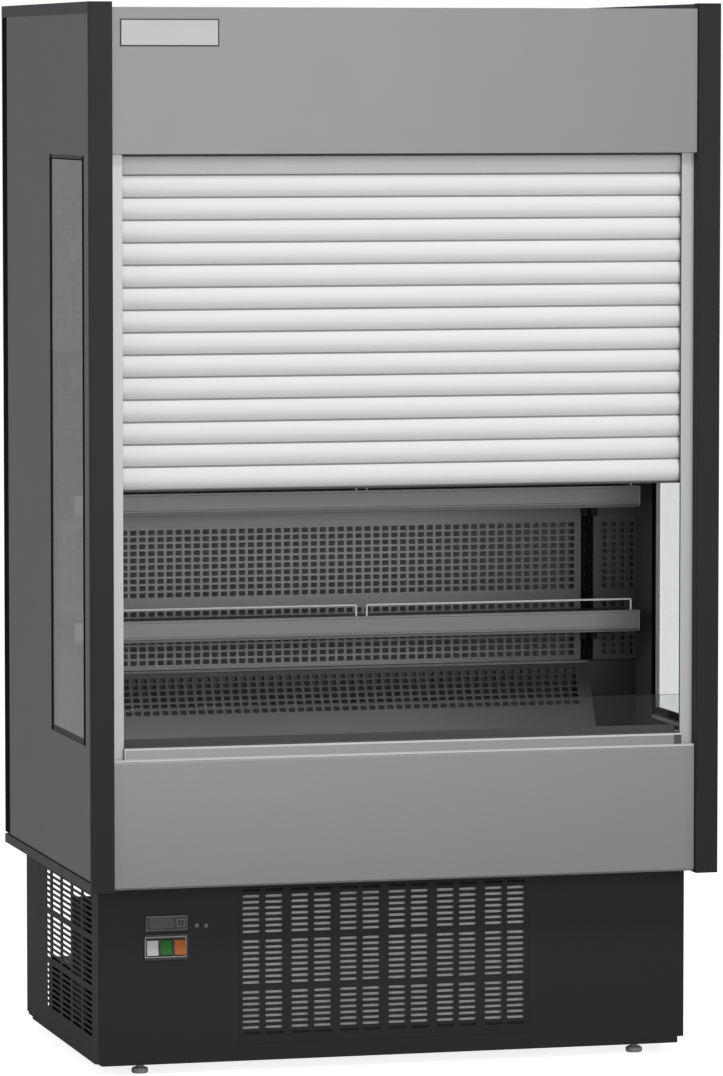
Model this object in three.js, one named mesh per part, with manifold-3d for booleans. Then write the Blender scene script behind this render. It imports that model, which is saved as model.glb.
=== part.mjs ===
// Open multideck display fridge with a slatted roll-down shutter.
// Millimetres, +Z up. The origin is under the middle of the cabinet, on the floor, and the
// front faces -Y. Depths named *_DEPTH are measured back from the front of the end trims.
import * as THREE from 'three';
import { mergeVertices } from 'three/addons/utils/BufferGeometryUtils.js';
import Module from 'manifold-3d';

const wasm = await Module();
wasm.setup();

// ---------------------------------------------------------------- driving dimensions
const WIDTH = 1220;
const DEPTH = 806;
const HEIGHT = 2012;
const FIT = 0.3; // gap between pieces that are fitted together

const FOOT_HEIGHT = 23;
const FOOT_RADIUS = 16;
const FOOT_X = 488;
const FOOT_FRONT_DEPTH = 140;
const FOOT_REAR_DEPTH = 720;

const BASE_HALF_WIDTH = 576;
const BASE_FRONT_DEPTH = 102;
const BASE_REAR_DEPTH = 761;
const REAR_CUT_DEPTH = 710;
const BASE_TOP = 371;
const SHEET = 2; // thickness of the folded sheet metal

const END_PANEL_THICK = 16;
const END_PANEL_BOTTOM = 361;
const INNER_HALF_WIDTH = WIDTH / 2 - END_PANEL_THICK;
const CAP_HEIGHT = 22;
const TRIM_WIDTH = 44;
const TRIM_DEPTH = 30;
const TRIM_SIDE_DEPTH = 12;
const TRIM_WALL = 3;
const BETWEEN_TRIMS = WIDTH / 2 - TRIM_WIDTH; // half width between the trims

const WINDOW_FRONT_DEPTH = 68;
const WINDOW_REAR_DEPTH = 357;
const WINDOW_BOTTOM = 632;
const WINDOW_TOP = 1728;
const GLASS_THICK = 6;

const FASCIA_DEPTH = 6;
const FASCIA_BOTTOM = 1731;
const FASCIA_TOP = 2002;
const BADGE_X = [-548, -365];
const BADGE_Z = [1932, 1978];
const BADGE_RISE = 1.5;
const BUMPER_DEPTH = 10;
const BUMPER_BOTTOM = 364.5;
const BUMPER_TOP = 606;
const RAIL_DEPTH = 16;
const RAIL_REAR_DEPTH = 76;
const RAIL_TOP = 628;
const RISER_DEPTH = 62;
const RISER_TOP = 698;

const SHELL_FRONT_DEPTH = 44;
const SHELL_REAR_DEPTH = 755;
const SHELL_WALL = 49;
const SHELL_BOTTOM = 371;
const SHELL_TOP = 1999.5;
const SHELL_ROOF = 30;

const GUIDE_WIDTH = 24;
const GUIDE_FRONT_DEPTH = 27;
const GUIDE_REAR_DEPTH = 62;
const GUIDE_WALL = 3;
const GUIDE_REAR_LIP = 12; // width of the lip behind the curtain
const GUIDE_TOP = 1958;

const SLAT_PITCH = 41.66;
const SLAT_BULGE = 8.5;
const SLAT_FRONT_DEPTH = 38;
const SLAT_REAR_DEPTH = 52;
const SLAT_HALF_LENGTH = 559;
const LOWER_SLATS = 4;
const BAR_BOTTOM = 1104;
const BAR_HEIGHT = 45;
const CURTAIN_TOP = 1955;
const BARREL_DEPTH = 112;
const BARREL_HEIGHT = 1895;
const BARREL_RADIUS = 30;
const JOURNAL_RADIUS = 8;
const COIL_RADIUS = 47;
const COIL_TURNS = 1.9;

const BACK_PANEL_DEPTH = 472;
const CANOPY_HEIGHT = 1736;
const STANDARD_X = 498.5;
const STANDARD_WIDTH = 28;
const LEDGE_HEIGHT = 727;
const LOWER_PANEL_HALF = 493; // half the width of the sloping lower panel
const LOWER_PANEL_LEAN = THREE.MathUtils.degToRad(27);
const DECK_HEIGHT = 588;
const RETURN_REAR_DEPTH = 130;

const SHELF_COUNT = 4;
const SHELF_SPACING = 243.6;
const FIRST_SHELF_HEIGHT = 830;
const SHELF_HALF_LENGTH = 560;
const SHELF_FRONT_DEPTH = 345;
const SHELF_LIP = 37; // height of the pan's folded front edge
const PRICE_RAIL_BOTTOM = -33.2; // from the shelf's top face
const PRICE_RAIL_TOP = 4;
const WIRE_TOP = 23.5;
const WIRE_RADIUS = 1.6;
const WIRE_GAP = 10.5; // half the gap between a shelf's two wire stops
const WIRE_HALF_LENGTH = 544;

const GRILLE_PAIR_PITCH = 95;
const GRILLE_SLOT_LENGTH = 34;
const GRILLE_PAIR_GAP = 10;
const GRILLE_SLOT_HEIGHT = 7;
const GRILLE_ROW_PITCH = 11.2;
const GRILLE_GROUP_PITCH = 97.2;
const GRILLE_ROWS = 8;
const GRILLE_GROUPS = 3;
const GRILLE_LOWEST_ROW = 64.5;

// ---------------------------------------------------------------- finishes
const finish = (color, roughness, metalness = 0) =>
  new THREE.MeshStandardMaterial({ color, roughness, metalness });
const greyPaint = finish(0x979694, 0.45, 0.1);
const charcoalPaint = finish(0x323332, 0.5, 0.1);
const sidePaint = finish(0x62645f, 0.5, 0.1);
const capPaint = finish(0x5b5f61, 0.45, 0.2);
const blackPaint = finish(0x272727, 0.6, 0.1);
const shutterPaint = finish(0xe6e7e6, 0.35, 0.3);
const guideMetal = finish(0xd0d0ce, 0.4, 0.5);
const silver = finish(0xa3a2a3, 0.35, 0.7);
const linerPaint = finish(0x6c6b6b, 0.5, 0.2);
const shelfPaint = finish(0x8a8887, 0.45, 0.3);
const glass = new THREE.MeshStandardMaterial({
  color: 0xdfe6e4, roughness: 0.05, transparent: true, opacity: 0.3,
});
const foam = finish(0xb9bbb8, 0.6);
const steel = finish(0x9a9c9e, 0.35, 0.9);
const aluminium = finish(0xb4b6b8, 0.4, 0.9);
const rubber = finish(0x3a3a3a, 0.9);
const plasticBlack = finish(0x1e1f20, 0.45);
const plasticWhite = finish(0xd8d7d0, 0.4);
const plasticGreen = finish(0x3b7d45, 0.4);
const plasticAmber = finish(0xb87a36, 0.4);
const lamp = finish(0xf2f2ea, 0.3);

// ---------------------------------------------------------------- geometry helpers
const atDepth = (depth) => depth - DEPTH / 2; // a depth behind the front as a Y

function toSolid(geometry) {
  const bare = geometry.clone();
  bare.deleteAttribute('normal');
  bare.deleteAttribute('uv');
  const merged = mergeVertices(bare, 1e-3);
  return new wasm.Manifold(new wasm.Mesh({
    numProp: 3,
    vertProperties: new Float32Array(merged.attributes.position.array),
    triVerts: new Uint32Array(merged.index.array),
  }));
}

function toGeometry(solid) {
  const { vertProperties, triVerts } = solid.getMesh();
  const geometry = new THREE.BufferGeometry();
  geometry.setAttribute('position', new THREE.BufferAttribute(vertProperties, 3));
  geometry.setIndex(new THREE.BufferAttribute(triVerts, 1));
  const faceted = geometry.toNonIndexed();
  faceted.computeVertexNormals();
  return faceted;
}

const join = (geometries) => toGeometry(wasm.Manifold.union(geometries.map(toSolid)));
const cut = (geometry, tools) =>
  toGeometry(wasm.Manifold.difference([geometry, ...tools].map(toSolid)));

const outline = (points) => new THREE.Shape(points.map(([u, v]) => new THREE.Vector2(u, v)));
const rectangle = (u0, u1, v0, v1) => [[u0, v0], [u1, v0], [u1, v1], [u0, v1]];

function withHoles(shape, holes) {
  shape.holes = holes.map((points) =>
    new THREE.Path(points.map(([u, v]) => new THREE.Vector2(u, v))));
  return shape;
}

const circle = (u, v, radius, sides = 24) =>
  Array.from({ length: sides }, (_, i) => {
    const a = (2 * Math.PI * i) / sides;
    return [u + radius * Math.cos(a), v + radius * Math.sin(a)];
  });

const extruded = (shape, depth) =>
  new THREE.ExtrudeGeometry(shape, { depth, bevelEnabled: false, curveSegments: 8 });

// A shape drawn in depth (u) and height (v), carried along X from x0.
const ALONG_X = new THREE.Matrix4().makeBasis(
  new THREE.Vector3(0, 1, 0), new THREE.Vector3(0, 0, 1), new THREE.Vector3(1, 0, 0));
const carried = (shape, x0, length) =>
  extruded(shape, length).applyMatrix4(ALONG_X).translate(x0, -DEPTH / 2, 0);
const alongX = (shape, x0, x1) => carried(shape, x0, x1 - x0);

// A shape drawn in X (u) and height (v), with its front face at a depth.
const ALONG_Y = new THREE.Matrix4().makeBasis(
  new THREE.Vector3(1, 0, 0), new THREE.Vector3(0, 0, 1), new THREE.Vector3(0, -1, 0));
const facingFront = (shape, depth, thick) =>
  extruded(shape, thick).applyMatrix4(ALONG_Y).translate(0, atDepth(depth + thick), 0);

// A shape drawn in X (u) and depth (v), lying flat with its underside at a height.
const lyingFlat = (shape, height, thick) =>
  extruded(shape, thick).translate(0, -DEPTH / 2, height);

const block = (x0, x1, depth0, depth1, z0, z1) =>
  new THREE.BoxGeometry(x1 - x0, depth1 - depth0, z1 - z0)
    .translate((x0 + x1) / 2, atDepth((depth0 + depth1) / 2), (z0 + z1) / 2);

// A plate with openings cut through it: place is one of the three functions above.
const punched = (place, points, openings, start, thick) =>
  cut(place(outline(points), start, thick),
    openings.map((opening) => place(outline(opening), start - 1, thick + 2)));

// A profile of [radius, height] points turned round the Z axis.
const turned = (points, sides) =>
  new THREE.LatheGeometry(points.map(([r, h]) => new THREE.Vector2(r, h)), sides)
    .rotateX(Math.PI / 2);
const alongXAxis = (geometry) => geometry.rotateY(Math.PI / 2);
const alongYAxis = (geometry) => geometry.rotateX(-Math.PI / 2);

const fridge = new THREE.Group();

function piece(name, geometry, material, parent = fridge) {
  const mesh = new THREE.Mesh(geometry, material);
  mesh.name = name;
  parent.add(mesh);
  return mesh;
}

// The same piece on the left and, mirrored, on the right.
function mirroredPieces(name, geometry, material) {
  piece(`${name}_left`, geometry, material);
  const flipped = geometry.clone().scale(-1, 1, 1);
  const position = (flipped.index ? flipped.toNonIndexed() : flipped).getAttribute('position');
  const turnedRound = position.array.slice();
  for (let i = 0; i < turnedRound.length; i += 9)
    for (let k = 0; k < 3; k += 1)
      [turnedRound[i + 3 + k], turnedRound[i + 6 + k]] =
        [turnedRound[i + 6 + k], turnedRound[i + 3 + k]];
  const mirrored = new THREE.BufferGeometry()
    .setAttribute('position', new THREE.BufferAttribute(turnedRound, 3));
  mirrored.computeVertexNormals();
  piece(`${name}_right`, mirrored, material);
}

// ---------------------------------------------------------------- machine base
// Slots in three groups of eight rows. columns holds each column's first and last u.
function slotRows(columns) {
  const slots = [];
  for (let group = 0; group < GRILLE_GROUPS; group += 1)
    for (let row = 0; row < GRILLE_ROWS; row += 1) {
      const z = GRILLE_LOWEST_ROW + group * GRILLE_GROUP_PITCH + row * GRILLE_ROW_PITCH;
      columns.forEach(([u0, u1]) => slots.push(
        rectangle(u0, u1, z - GRILLE_SLOT_HEIGHT / 2, z + GRILLE_SLOT_HEIGHT / 2)));
    }
  return slots;
}

// Slot columns starting at u, count of them, each length long.
const slotColumns = (u, count, pitch, length) =>
  Array.from({ length: count }, (_, i) => [u + i * pitch, u + i * pitch + length]);

const GRILLE_LEFT = -297;
const GRILLE_PAIRS = 6;
const SIDE_GRILLE_DEPTH = 157; // where the side panels' slots start
const SIDE_GRILLE_PAIRS = 4;
const GRILLE_FRAME = [GRILLE_LEFT - 8, GRILLE_LEFT + 561, 52, 349];
const CONTROL_X = -445;
const CONTROLLER_WIDTH = 80;
const SWITCH_FRAME_WIDTH = 84;
const CONTROLLER_BOTTOM = 273.7;
const CONTROLLER_TOP = 301.5;
const SWITCH_FRAME_BOTTOM = 218;
const SWITCH_FRAME_TOP = 266.5;
const BEZEL_DEPTH = 3;
const WIRING_BOX_X = [-555, -430]; // the closed box behind the controls
const WIRING_BOX_DEPTH = [300, 420];
const WIRING_BOX_TOP = 300;
const BODY_INSET = 2;
const NOTCH = 12; // square notches in the right front corner of the machine base
const NOTCH_REAR_DEPTH = 152;

function machineBase() {
  const inner = BASE_HALF_WIDTH - SHEET - FIT;
  const rear = BASE_REAR_DEPTH - SHEET - FIT;
  const front = BASE_FRONT_DEPTH + SHEET + FIT;
  const tray = 3;
  const post = 32;
  const railHeight = 22;
  const postAt = (x0, depth0) =>
    block(x0, x0 + post, depth0, depth0 + post, FOOT_HEIGHT, BASE_TOP);
  const edge = BASE_HALF_WIDTH;
  const bottom = FOOT_HEIGHT - 3;
  const inset = edge - NOTCH;
  const clearOfNotches = [[bottom, bottom + NOTCH], [BASE_TOP - NOTCH, BASE_TOP + 1]]
    .map((heights) => block(inset - FIT, edge, front - 1, NOTCH_REAR_DEPTH, ...heights));
  const frame = cut(join([
    block(-inner, inner, front, rear, FOOT_HEIGHT, FOOT_HEIGHT + tray),
    postAt(-inner, front), postAt(inner - post, front),
    postAt(-inner, rear - post), postAt(inner - post, rear - post),
    block(-inner, inner, front, front + post / 2, BASE_TOP - railHeight, BASE_TOP),
    block(-inner, inner, rear - post / 2, rear, BASE_TOP - railHeight, BASE_TOP),
    block(-inner, -inner + post / 2, front, rear, BASE_TOP - railHeight, BASE_TOP),
    block(inner - post / 2, inner, front, rear, BASE_TOP - railHeight, BASE_TOP),
    block(...WIRING_BOX_X, ...WIRING_BOX_DEPTH, FOOT_HEIGHT, WIRING_BOX_TOP),
  ]), clearOfNotches);
  piece('base_frame', frame, blackPaint);

  const frontShape = [
    [-edge + 8, bottom], [inset, bottom], [inset, bottom + NOTCH], [edge, bottom + NOTCH],
    [edge, BASE_TOP - NOTCH], [inset, BASE_TOP - NOTCH], [inset, BASE_TOP], [-edge, BASE_TOP],
    [-edge, bottom + 5], [-edge + 3, bottom + 2],
  ];
  const controlHole = (width, z0, z1) => {
    const half = width / 2 - BODY_INSET + FIT;
    return rectangle(CONTROL_X - half, CONTROL_X + half, z0 + BODY_INSET - FIT, z1 - BODY_INSET + FIT);
  };
  const [gl, gr, gb, gt] = GRILLE_FRAME;
  const frontPanel = punched(facingFront, frontShape, [
    rectangle(gl - FIT, gr + FIT, gb - FIT, gt + FIT),
    controlHole(CONTROLLER_WIDTH, CONTROLLER_BOTTOM, CONTROLLER_TOP),
    controlHole(SWITCH_FRAME_WIDTH, SWITCH_FRAME_BOTTOM, SWITCH_FRAME_TOP),
  ], BASE_FRONT_DEPTH, SHEET);
  piece('base_front_panel', frontPanel, blackPaint);

  const secondOfPair = GRILLE_SLOT_LENGTH + GRILLE_PAIR_GAP;
  const grille = punched(facingFront, rectangle(gl, gr, gb, gt), slotRows([
    ...slotColumns(GRILLE_LEFT, GRILLE_PAIRS, GRILLE_PAIR_PITCH, GRILLE_SLOT_LENGTH),
    ...slotColumns(GRILLE_LEFT + secondOfPair, GRILLE_PAIRS, GRILLE_PAIR_PITCH, GRILLE_SLOT_LENGTH),
  ]), BASE_FRONT_DEPTH, SHEET);
  piece('front_grille', grille, blackPaint);

  // Both side panels are cut away at the rear foot, the right one also beside the notches.
  const rearCorner = [
    [REAR_CUT_DEPTH, bottom], [REAR_CUT_DEPTH, bottom + 9], [BASE_REAR_DEPTH, bottom + 9],
    [BASE_REAR_DEPTH, BASE_TOP],
  ];
  const leftFront = [[front, BASE_TOP], [front, bottom + 4], [front + 28, bottom]];
  const rightFront = [
    [NOTCH_REAR_DEPTH, BASE_TOP], [NOTCH_REAR_DEPTH, BASE_TOP - NOTCH], [front, BASE_TOP - NOTCH],
    [front, bottom + NOTCH], [NOTCH_REAR_DEPTH, bottom + NOTCH], [NOTCH_REAR_DEPTH, bottom],
  ];
  const sideSlots = slotRows([
    ...slotColumns(SIDE_GRILLE_DEPTH, SIDE_GRILLE_PAIRS, GRILLE_PAIR_PITCH,
      secondOfPair + GRILLE_SLOT_LENGTH),
    ...slotColumns(SIDE_GRILLE_DEPTH + SIDE_GRILLE_PAIRS * GRILLE_PAIR_PITCH, 1, 0,
      GRILLE_SLOT_LENGTH),
  ]);
  piece('side_grille_left',
    punched(carried, [...rearCorner, ...leftFront], sideSlots, -edge, SHEET), blackPaint);
  piece('side_grille_right',
    punched(carried, [...rearCorner, ...rightFront], sideSlots, edge - SHEET, SHEET), blackPaint);

  const footProfile = [
    [0, 0], [FOOT_RADIUS - 2, 0], [FOOT_RADIUS, 2], [FOOT_RADIUS, 8], [FOOT_RADIUS - 4, 11],
    [7, 12], [7, FOOT_HEIGHT - FIT], [0, FOOT_HEIGHT - FIT],
  ];
  [['front_left', -1, FOOT_FRONT_DEPTH], ['front_right', 1, FOOT_FRONT_DEPTH],
    ['rear_left', -1, FOOT_REAR_DEPTH], ['rear_right', 1, FOOT_REAR_DEPTH]]
    .forEach(([place, hand, depth]) => {
      const foot = piece(`foot_${place}`, turned(footProfile, 16), rubber);
      foot.position.set(hand * FOOT_X, atDepth(depth), 0);
    });
}

// ---------------------------------------------------------------- cabinet
function cabinet() {
  const floor = SHELL_BOTTOM + SHELL_WALL;
  const back = SHELL_REAR_DEPTH - SHELL_WALL;
  const roof = SHELL_TOP - SHELL_ROOF;
  const shell = outline([
    [SHELL_FRONT_DEPTH, SHELL_BOTTOM], [SHELL_REAR_DEPTH, SHELL_BOTTOM],
    [SHELL_REAR_DEPTH, SHELL_TOP], [SHELL_FRONT_DEPTH - 8, SHELL_TOP],
    [SHELL_FRONT_DEPTH - 8, roof], [back - 25, roof], [back, roof - 25],
    [back, floor + 15], [back - 15, floor], [RAIL_REAR_DEPTH + 15, floor],
    [RAIL_REAR_DEPTH, floor + 15], [RAIL_REAR_DEPTH, BUMPER_TOP], [SHELL_FRONT_DEPTH, BUMPER_TOP],
  ]);
  const half = INNER_HALF_WIDTH - FIT;
  piece('cabinet_shell', alongX(shell, -half, half), foam);

  // The rear cover is a pan, open towards the shell, with two stiffening ribs.
  const coverWidth = WIDTH / 2;
  const coverTop = HEIGHT - CAP_HEIGHT - FIT;
  const coverDepth = SHELL_REAR_DEPTH + FIT;
  const coverBottom = BASE_TOP + FIT;
  const cover = cut(
    block(-coverWidth, coverWidth, coverDepth, DEPTH, coverBottom, coverTop),
    [-1, 0, 1].map((i) => block(
      i * 400 - 200 + (i === -1 ? -7 : 1), i * 400 + 200 + (i === 1 ? 7 : -1),
      coverDepth - 1, DEPTH - SHEET, coverBottom + SHEET, coverTop - SHEET)));
  piece('rear_cover', cover, blackPaint);

  const panel = withHoles(outline([
    [TRIM_SIDE_DEPTH + FIT, END_PANEL_BOTTOM], [SHELL_REAR_DEPTH, END_PANEL_BOTTOM],
    [SHELL_REAR_DEPTH, HEIGHT - CAP_HEIGHT], [DEPTH, HEIGHT - CAP_HEIGHT],
    [DEPTH, HEIGHT - 4], [DEPTH - 4, HEIGHT], [TRIM_SIDE_DEPTH + FIT, HEIGHT],
  ]), [rectangle(WINDOW_FRONT_DEPTH, WINDOW_REAR_DEPTH, WINDOW_BOTTOM, WINDOW_TOP)]);
  mirroredPieces('end_panel',
    alongX(panel, -WIDTH / 2, -INNER_HALF_WIDTH), sidePaint);

  // A double pane with a narrow raised frame, seated in the end panel's opening.
  const frameWall = 12;
  const paneRecess = 1.5;
  const frame = [WINDOW_FRONT_DEPTH + FIT, WINDOW_REAR_DEPTH - FIT, WINDOW_BOTTOM + FIT, WINDOW_TOP - FIT];
  const pane = (x0, x1) => block(x0, x1, frame[0], frame[1], frame[2], frame[3]);
  const [d0, d1, z0, z1] = [frame[0] + frameWall, frame[1] - frameWall, frame[2] + frameWall, frame[3] - frameWall];
  const outer = -WIDTH / 2 + 1;
  const innerFace = -INNER_HALF_WIDTH - 1;
  const window = cut(pane(outer, innerFace), [
    block(outer - 1, outer + paneRecess, d0, d1, z0, z1),
    block(innerFace - paneRecess, innerFace + 1, d0, d1, z0, z1),
  ]);
  mirroredPieces('side_glass', window, glass);

  const trim = [
    [-WIDTH / 2, 0], [-BETWEEN_TRIMS, 0], [-BETWEEN_TRIMS, TRIM_DEPTH],
    [-BETWEEN_TRIMS - TRIM_WALL, TRIM_DEPTH], [-BETWEEN_TRIMS - TRIM_WALL, TRIM_WALL],
    [-WIDTH / 2 + TRIM_WALL, TRIM_WALL], [-WIDTH / 2 + TRIM_WALL, TRIM_SIDE_DEPTH],
    [-WIDTH / 2, TRIM_SIDE_DEPTH],
  ];
  mirroredPieces('end_trim',
    lyingFlat(outline(trim), END_PANEL_BOTTOM, HEIGHT - END_PANEL_BOTTOM), charcoalPaint);
}

// ---------------------------------------------------------------- front panels and sill
function frontPanels() {
  const half = BETWEEN_TRIMS - FIT;
  const lowerFlange = 18;
  const upperFlange = 28;
  const f = FASCIA_DEPTH;
  const sheet = alongX(outline([
    [f + 2, FASCIA_BOTTOM], [f + lowerFlange, FASCIA_BOTTOM],
    [f + lowerFlange, FASCIA_BOTTOM + SHEET], [f + SHEET, FASCIA_BOTTOM + SHEET],
    [f + SHEET, FASCIA_TOP - SHEET], [f + upperFlange, FASCIA_TOP - SHEET],
    [f + upperFlange, FASCIA_TOP], [f + 2, FASCIA_TOP], [f, FASCIA_TOP - 2], [f, FASCIA_BOTTOM + 2],
  ]), -half, half);
  const badge = block(...BADGE_X, f - BADGE_RISE, f + 1, ...BADGE_Z);
  piece('header_fascia', join([sheet, badge]), greyPaint);

  const b = BUMPER_DEPTH;
  const round = 7;
  const back = SHELL_FRONT_DEPTH - FIT;
  const nose = [0.25, 0.5, 0.75].map((t) => {
    const a = (Math.PI / 2) * t;
    return [b + round - round * Math.cos(a), BUMPER_TOP - round + round * Math.sin(a)];
  });
  piece('front_bumper', alongX(outline([
    [b, BUMPER_BOTTOM + 4], [b + 4, BUMPER_BOTTOM], [back, BUMPER_BOTTOM],
    [back, BUMPER_BOTTOM + SHEET], [b + SHEET + 3, BUMPER_BOTTOM + SHEET],
    [b + SHEET, BUMPER_BOTTOM + SHEET + 3], [b + SHEET, BUMPER_TOP - round],
    [b + round, BUMPER_TOP - SHEET], [back, BUMPER_TOP - SHEET], [back, BUMPER_TOP],
    [b + round, BUMPER_TOP], ...nose.reverse(), [b, BUMPER_TOP - round],
  ]), -half, half), greyPaint);

  // The sill rail has a groove that holds the riser glass.
  const railHalf = BETWEEN_TRIMS - GUIDE_WIDTH - FIT;
  const groove = 11;
  const g0 = RISER_DEPTH - FIT;
  const g1 = RISER_DEPTH + GLASS_THICK + FIT;
  piece('sill_rail', alongX(outline([
    [RAIL_DEPTH, BUMPER_TOP], [RAIL_REAR_DEPTH, BUMPER_TOP], [RAIL_REAR_DEPTH, RAIL_TOP],
    [g1, RAIL_TOP], [g1, RAIL_TOP - groove], [g0, RAIL_TOP - groove], [g0, RAIL_TOP],
    [RAIL_DEPTH + 3, RAIL_TOP], [RAIL_DEPTH, RAIL_TOP - 3],
  ]), -railHalf, railHalf), silver);
  piece('riser_glass',
    block(-railHalf, railHalf, RISER_DEPTH, RISER_DEPTH + GLASS_THICK, RAIL_TOP - groove + FIT, RISER_TOP),
    glass);
}

// ---------------------------------------------------------------- roller shutter
// The outline of slats stacked from z0 up: a crowned front and a flat back with grooves.
function slatOutline(z0, count) {
  const front = [];
  const back = [];
  const arc = [0.06, 0.2, 0.4, 0.6, 0.8, 0.94];
  for (let i = 0; i < count; i += 1) {
    const base = z0 + i * SLAT_PITCH;
    const size = Math.min(1, count - i) * SLAT_PITCH;
    front.push([SLAT_FRONT_DEPTH + SLAT_BULGE, base + 0.4]);
    arc.forEach((t) => front.push(
      [SLAT_FRONT_DEPTH + SLAT_BULGE * (1 - Math.sin(Math.PI * t) ** 0.7), base + t * size]));
    back.push([SLAT_REAR_DEPTH - 3, base + 0.4], [SLAT_REAR_DEPTH, base + 0.3 * size],
      [SLAT_REAR_DEPTH, base + 0.7 * size]);
  }
  const top = z0 + count * SLAT_PITCH;
  return outline([...back, [SLAT_REAR_DEPTH - 3, top],
    [SLAT_FRONT_DEPTH + SLAT_BULGE, top], ...front.reverse()]);
}

function rollerShutter() {
  const slats = (z0, count) => alongX(slatOutline(z0, count), -SLAT_HALF_LENGTH, SLAT_HALF_LENGTH);
  const lowerBottom = BAR_BOTTOM + BAR_HEIGHT + FIT;
  const upperBottom = lowerBottom + LOWER_SLATS * SLAT_PITCH + FIT;
  piece('shutter_lower_slats', slats(lowerBottom, LOWER_SLATS), shutterPaint);
  piece('shutter_upper_slats',
    slats(upperBottom, (CURTAIN_TOP - upperBottom) / SLAT_PITCH), shutterPaint);

  const f = SLAT_FRONT_DEPTH - 2;
  const r = SLAT_REAR_DEPTH + 2;
  const crown = [0.08, 0.25, 0.5, 0.75, 0.92].map((t) =>
    [f + SLAT_BULGE * (1 - Math.sin(Math.PI * t) ** 0.7), BAR_BOTTOM + 4 + t * (BAR_HEIGHT - 4)]);
  piece('shutter_bottom_bar', alongX(outline([
    [f + 4, BAR_BOTTOM], [r - 4, BAR_BOTTOM], [r, BAR_BOTTOM + 5], [r, BAR_BOTTOM + BAR_HEIGHT - 4],
    [r - 4, BAR_BOTTOM + BAR_HEIGHT], [f + SLAT_BULGE, BAR_BOTTOM + BAR_HEIGHT],
    ...crown.reverse(), [f + SLAT_BULGE, BAR_BOTTOM + 3],
  ]), -SLAT_HALF_LENGTH, SLAT_HALF_LENGTH), shutterPaint);

  // Guide channels, open inwards. Each carries a bearing plate for the barrel at its top.
  const inner = -BETWEEN_TRIMS + GUIDE_WIDTH;
  const web = -BETWEEN_TRIMS + GUIDE_WALL;
  const rearLip = -BETWEEN_TRIMS + GUIDE_REAR_LIP;
  const channel = lyingFlat(outline([
    [-BETWEEN_TRIMS, GUIDE_FRONT_DEPTH], [inner, GUIDE_FRONT_DEPTH],
    [inner, GUIDE_FRONT_DEPTH + GUIDE_WALL], [web, GUIDE_FRONT_DEPTH + GUIDE_WALL],
    [web, GUIDE_REAR_DEPTH - GUIDE_WALL], [rearLip, GUIDE_REAR_DEPTH - GUIDE_WALL],
    [rearLip, GUIDE_REAR_DEPTH], [-BETWEEN_TRIMS, GUIDE_REAR_DEPTH],
  ]), BUMPER_TOP, GUIDE_TOP - BUMPER_TOP);
  const bearingPlate = alongX(withHoles(outline([
    [GUIDE_REAR_DEPTH - 2, BARREL_HEIGHT - 70], [BARREL_DEPTH + 25, BARREL_HEIGHT - 25],
    [BARREL_DEPTH + 25, BARREL_HEIGHT + 25], [GUIDE_REAR_DEPTH - 2, BARREL_HEIGHT + 50],
  ]), [circle(BARREL_DEPTH, BARREL_HEIGHT, JOURNAL_RADIUS + 0.6, 16)]), -BETWEEN_TRIMS, web);
  mirroredPieces('shutter_guide', join([channel, bearingPlate]), guideMetal);

  const tube = 553;
  const barrel = alongXAxis(turned([
    [0, -BETWEEN_TRIMS + 1], [JOURNAL_RADIUS, -BETWEEN_TRIMS + 1], [JOURNAL_RADIUS, -tube],
    [BARREL_RADIUS, -tube], [BARREL_RADIUS, tube], [JOURNAL_RADIUS, tube],
    [JOURNAL_RADIUS, BETWEEN_TRIMS - 1], [0, BETWEEN_TRIMS - 1],
  ], 24));
  const barrelMesh = piece('shutter_barrel', barrel, steel);
  barrelMesh.position.set(0, atDepth(BARREL_DEPTH), BARREL_HEIGHT);

  // The wound part of the curtain, a spiral round the barrel.
  const steps = 44;
  const start = BARREL_RADIUS + 0.5;
  const layer = (COIL_RADIUS - start) / (COIL_TURNS + 1);
  const along = (offset) => Array.from({ length: steps + 1 }, (_, i) => {
    const turn = (COIL_TURNS * i) / steps;
    const radius = start + offset + layer * turn;
    const a = 2 * Math.PI * turn;
    return [radius * Math.cos(a), radius * Math.sin(a)];
  });
  const spiral = outline([...along(layer - 0.5), ...along(0).reverse()]);
  const coil = piece('shutter_coil',
    alongX(spiral, -SLAT_HALF_LENGTH + 15, SLAT_HALF_LENGTH - 15).translate(0, DEPTH / 2, 0),
    shutterPaint);
  coil.position.copy(barrelMesh.position);
}

// ---------------------------------------------------------------- refrigerated interior
function canopy() {
  const half = INNER_HALF_WIDTH - FIT;
  const front = GUIDE_REAR_DEPTH + FIT;
  const sheet = alongX(outline([
    [front, CANOPY_HEIGHT], [BACK_PANEL_DEPTH + SHEET, CANOPY_HEIGHT],
    [BACK_PANEL_DEPTH + SHEET, CANOPY_HEIGHT + SHEET], [front + SHEET, CANOPY_HEIGHT + SHEET],
    [front + SHEET, CANOPY_HEIGHT + 80], [front, CANOPY_HEIGHT + 80],
  ]), -half, half);
  // The air outlet is a row of cells behind the curtain.
  const cells = 24;
  const cellPitch = (2 * half - 60) / cells;
  const outlets = Array.from({ length: cells }, (_, i) => {
    const x0 = -half + 30 + i * cellPitch;
    return block(x0 + 3, x0 + cellPitch - 3, front + 8, front + 68, CANOPY_HEIGHT - 1, CANOPY_HEIGHT + SHEET + 1);
  });
  piece('canopy_liner', cut(sheet, outlets), linerPaint);
  const d = 150;
  piece('canopy_light', alongX(outline([
    [d, CANOPY_HEIGHT], [d + 4, CANOPY_HEIGHT - 10], [d + 12, CANOPY_HEIGHT - 14],
    [d + 22, CANOPY_HEIGHT - 14], [d + 30, CANOPY_HEIGHT - 10], [d + 34, CANOPY_HEIGHT],
  ]), -520, 520), lamp);
}

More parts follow.
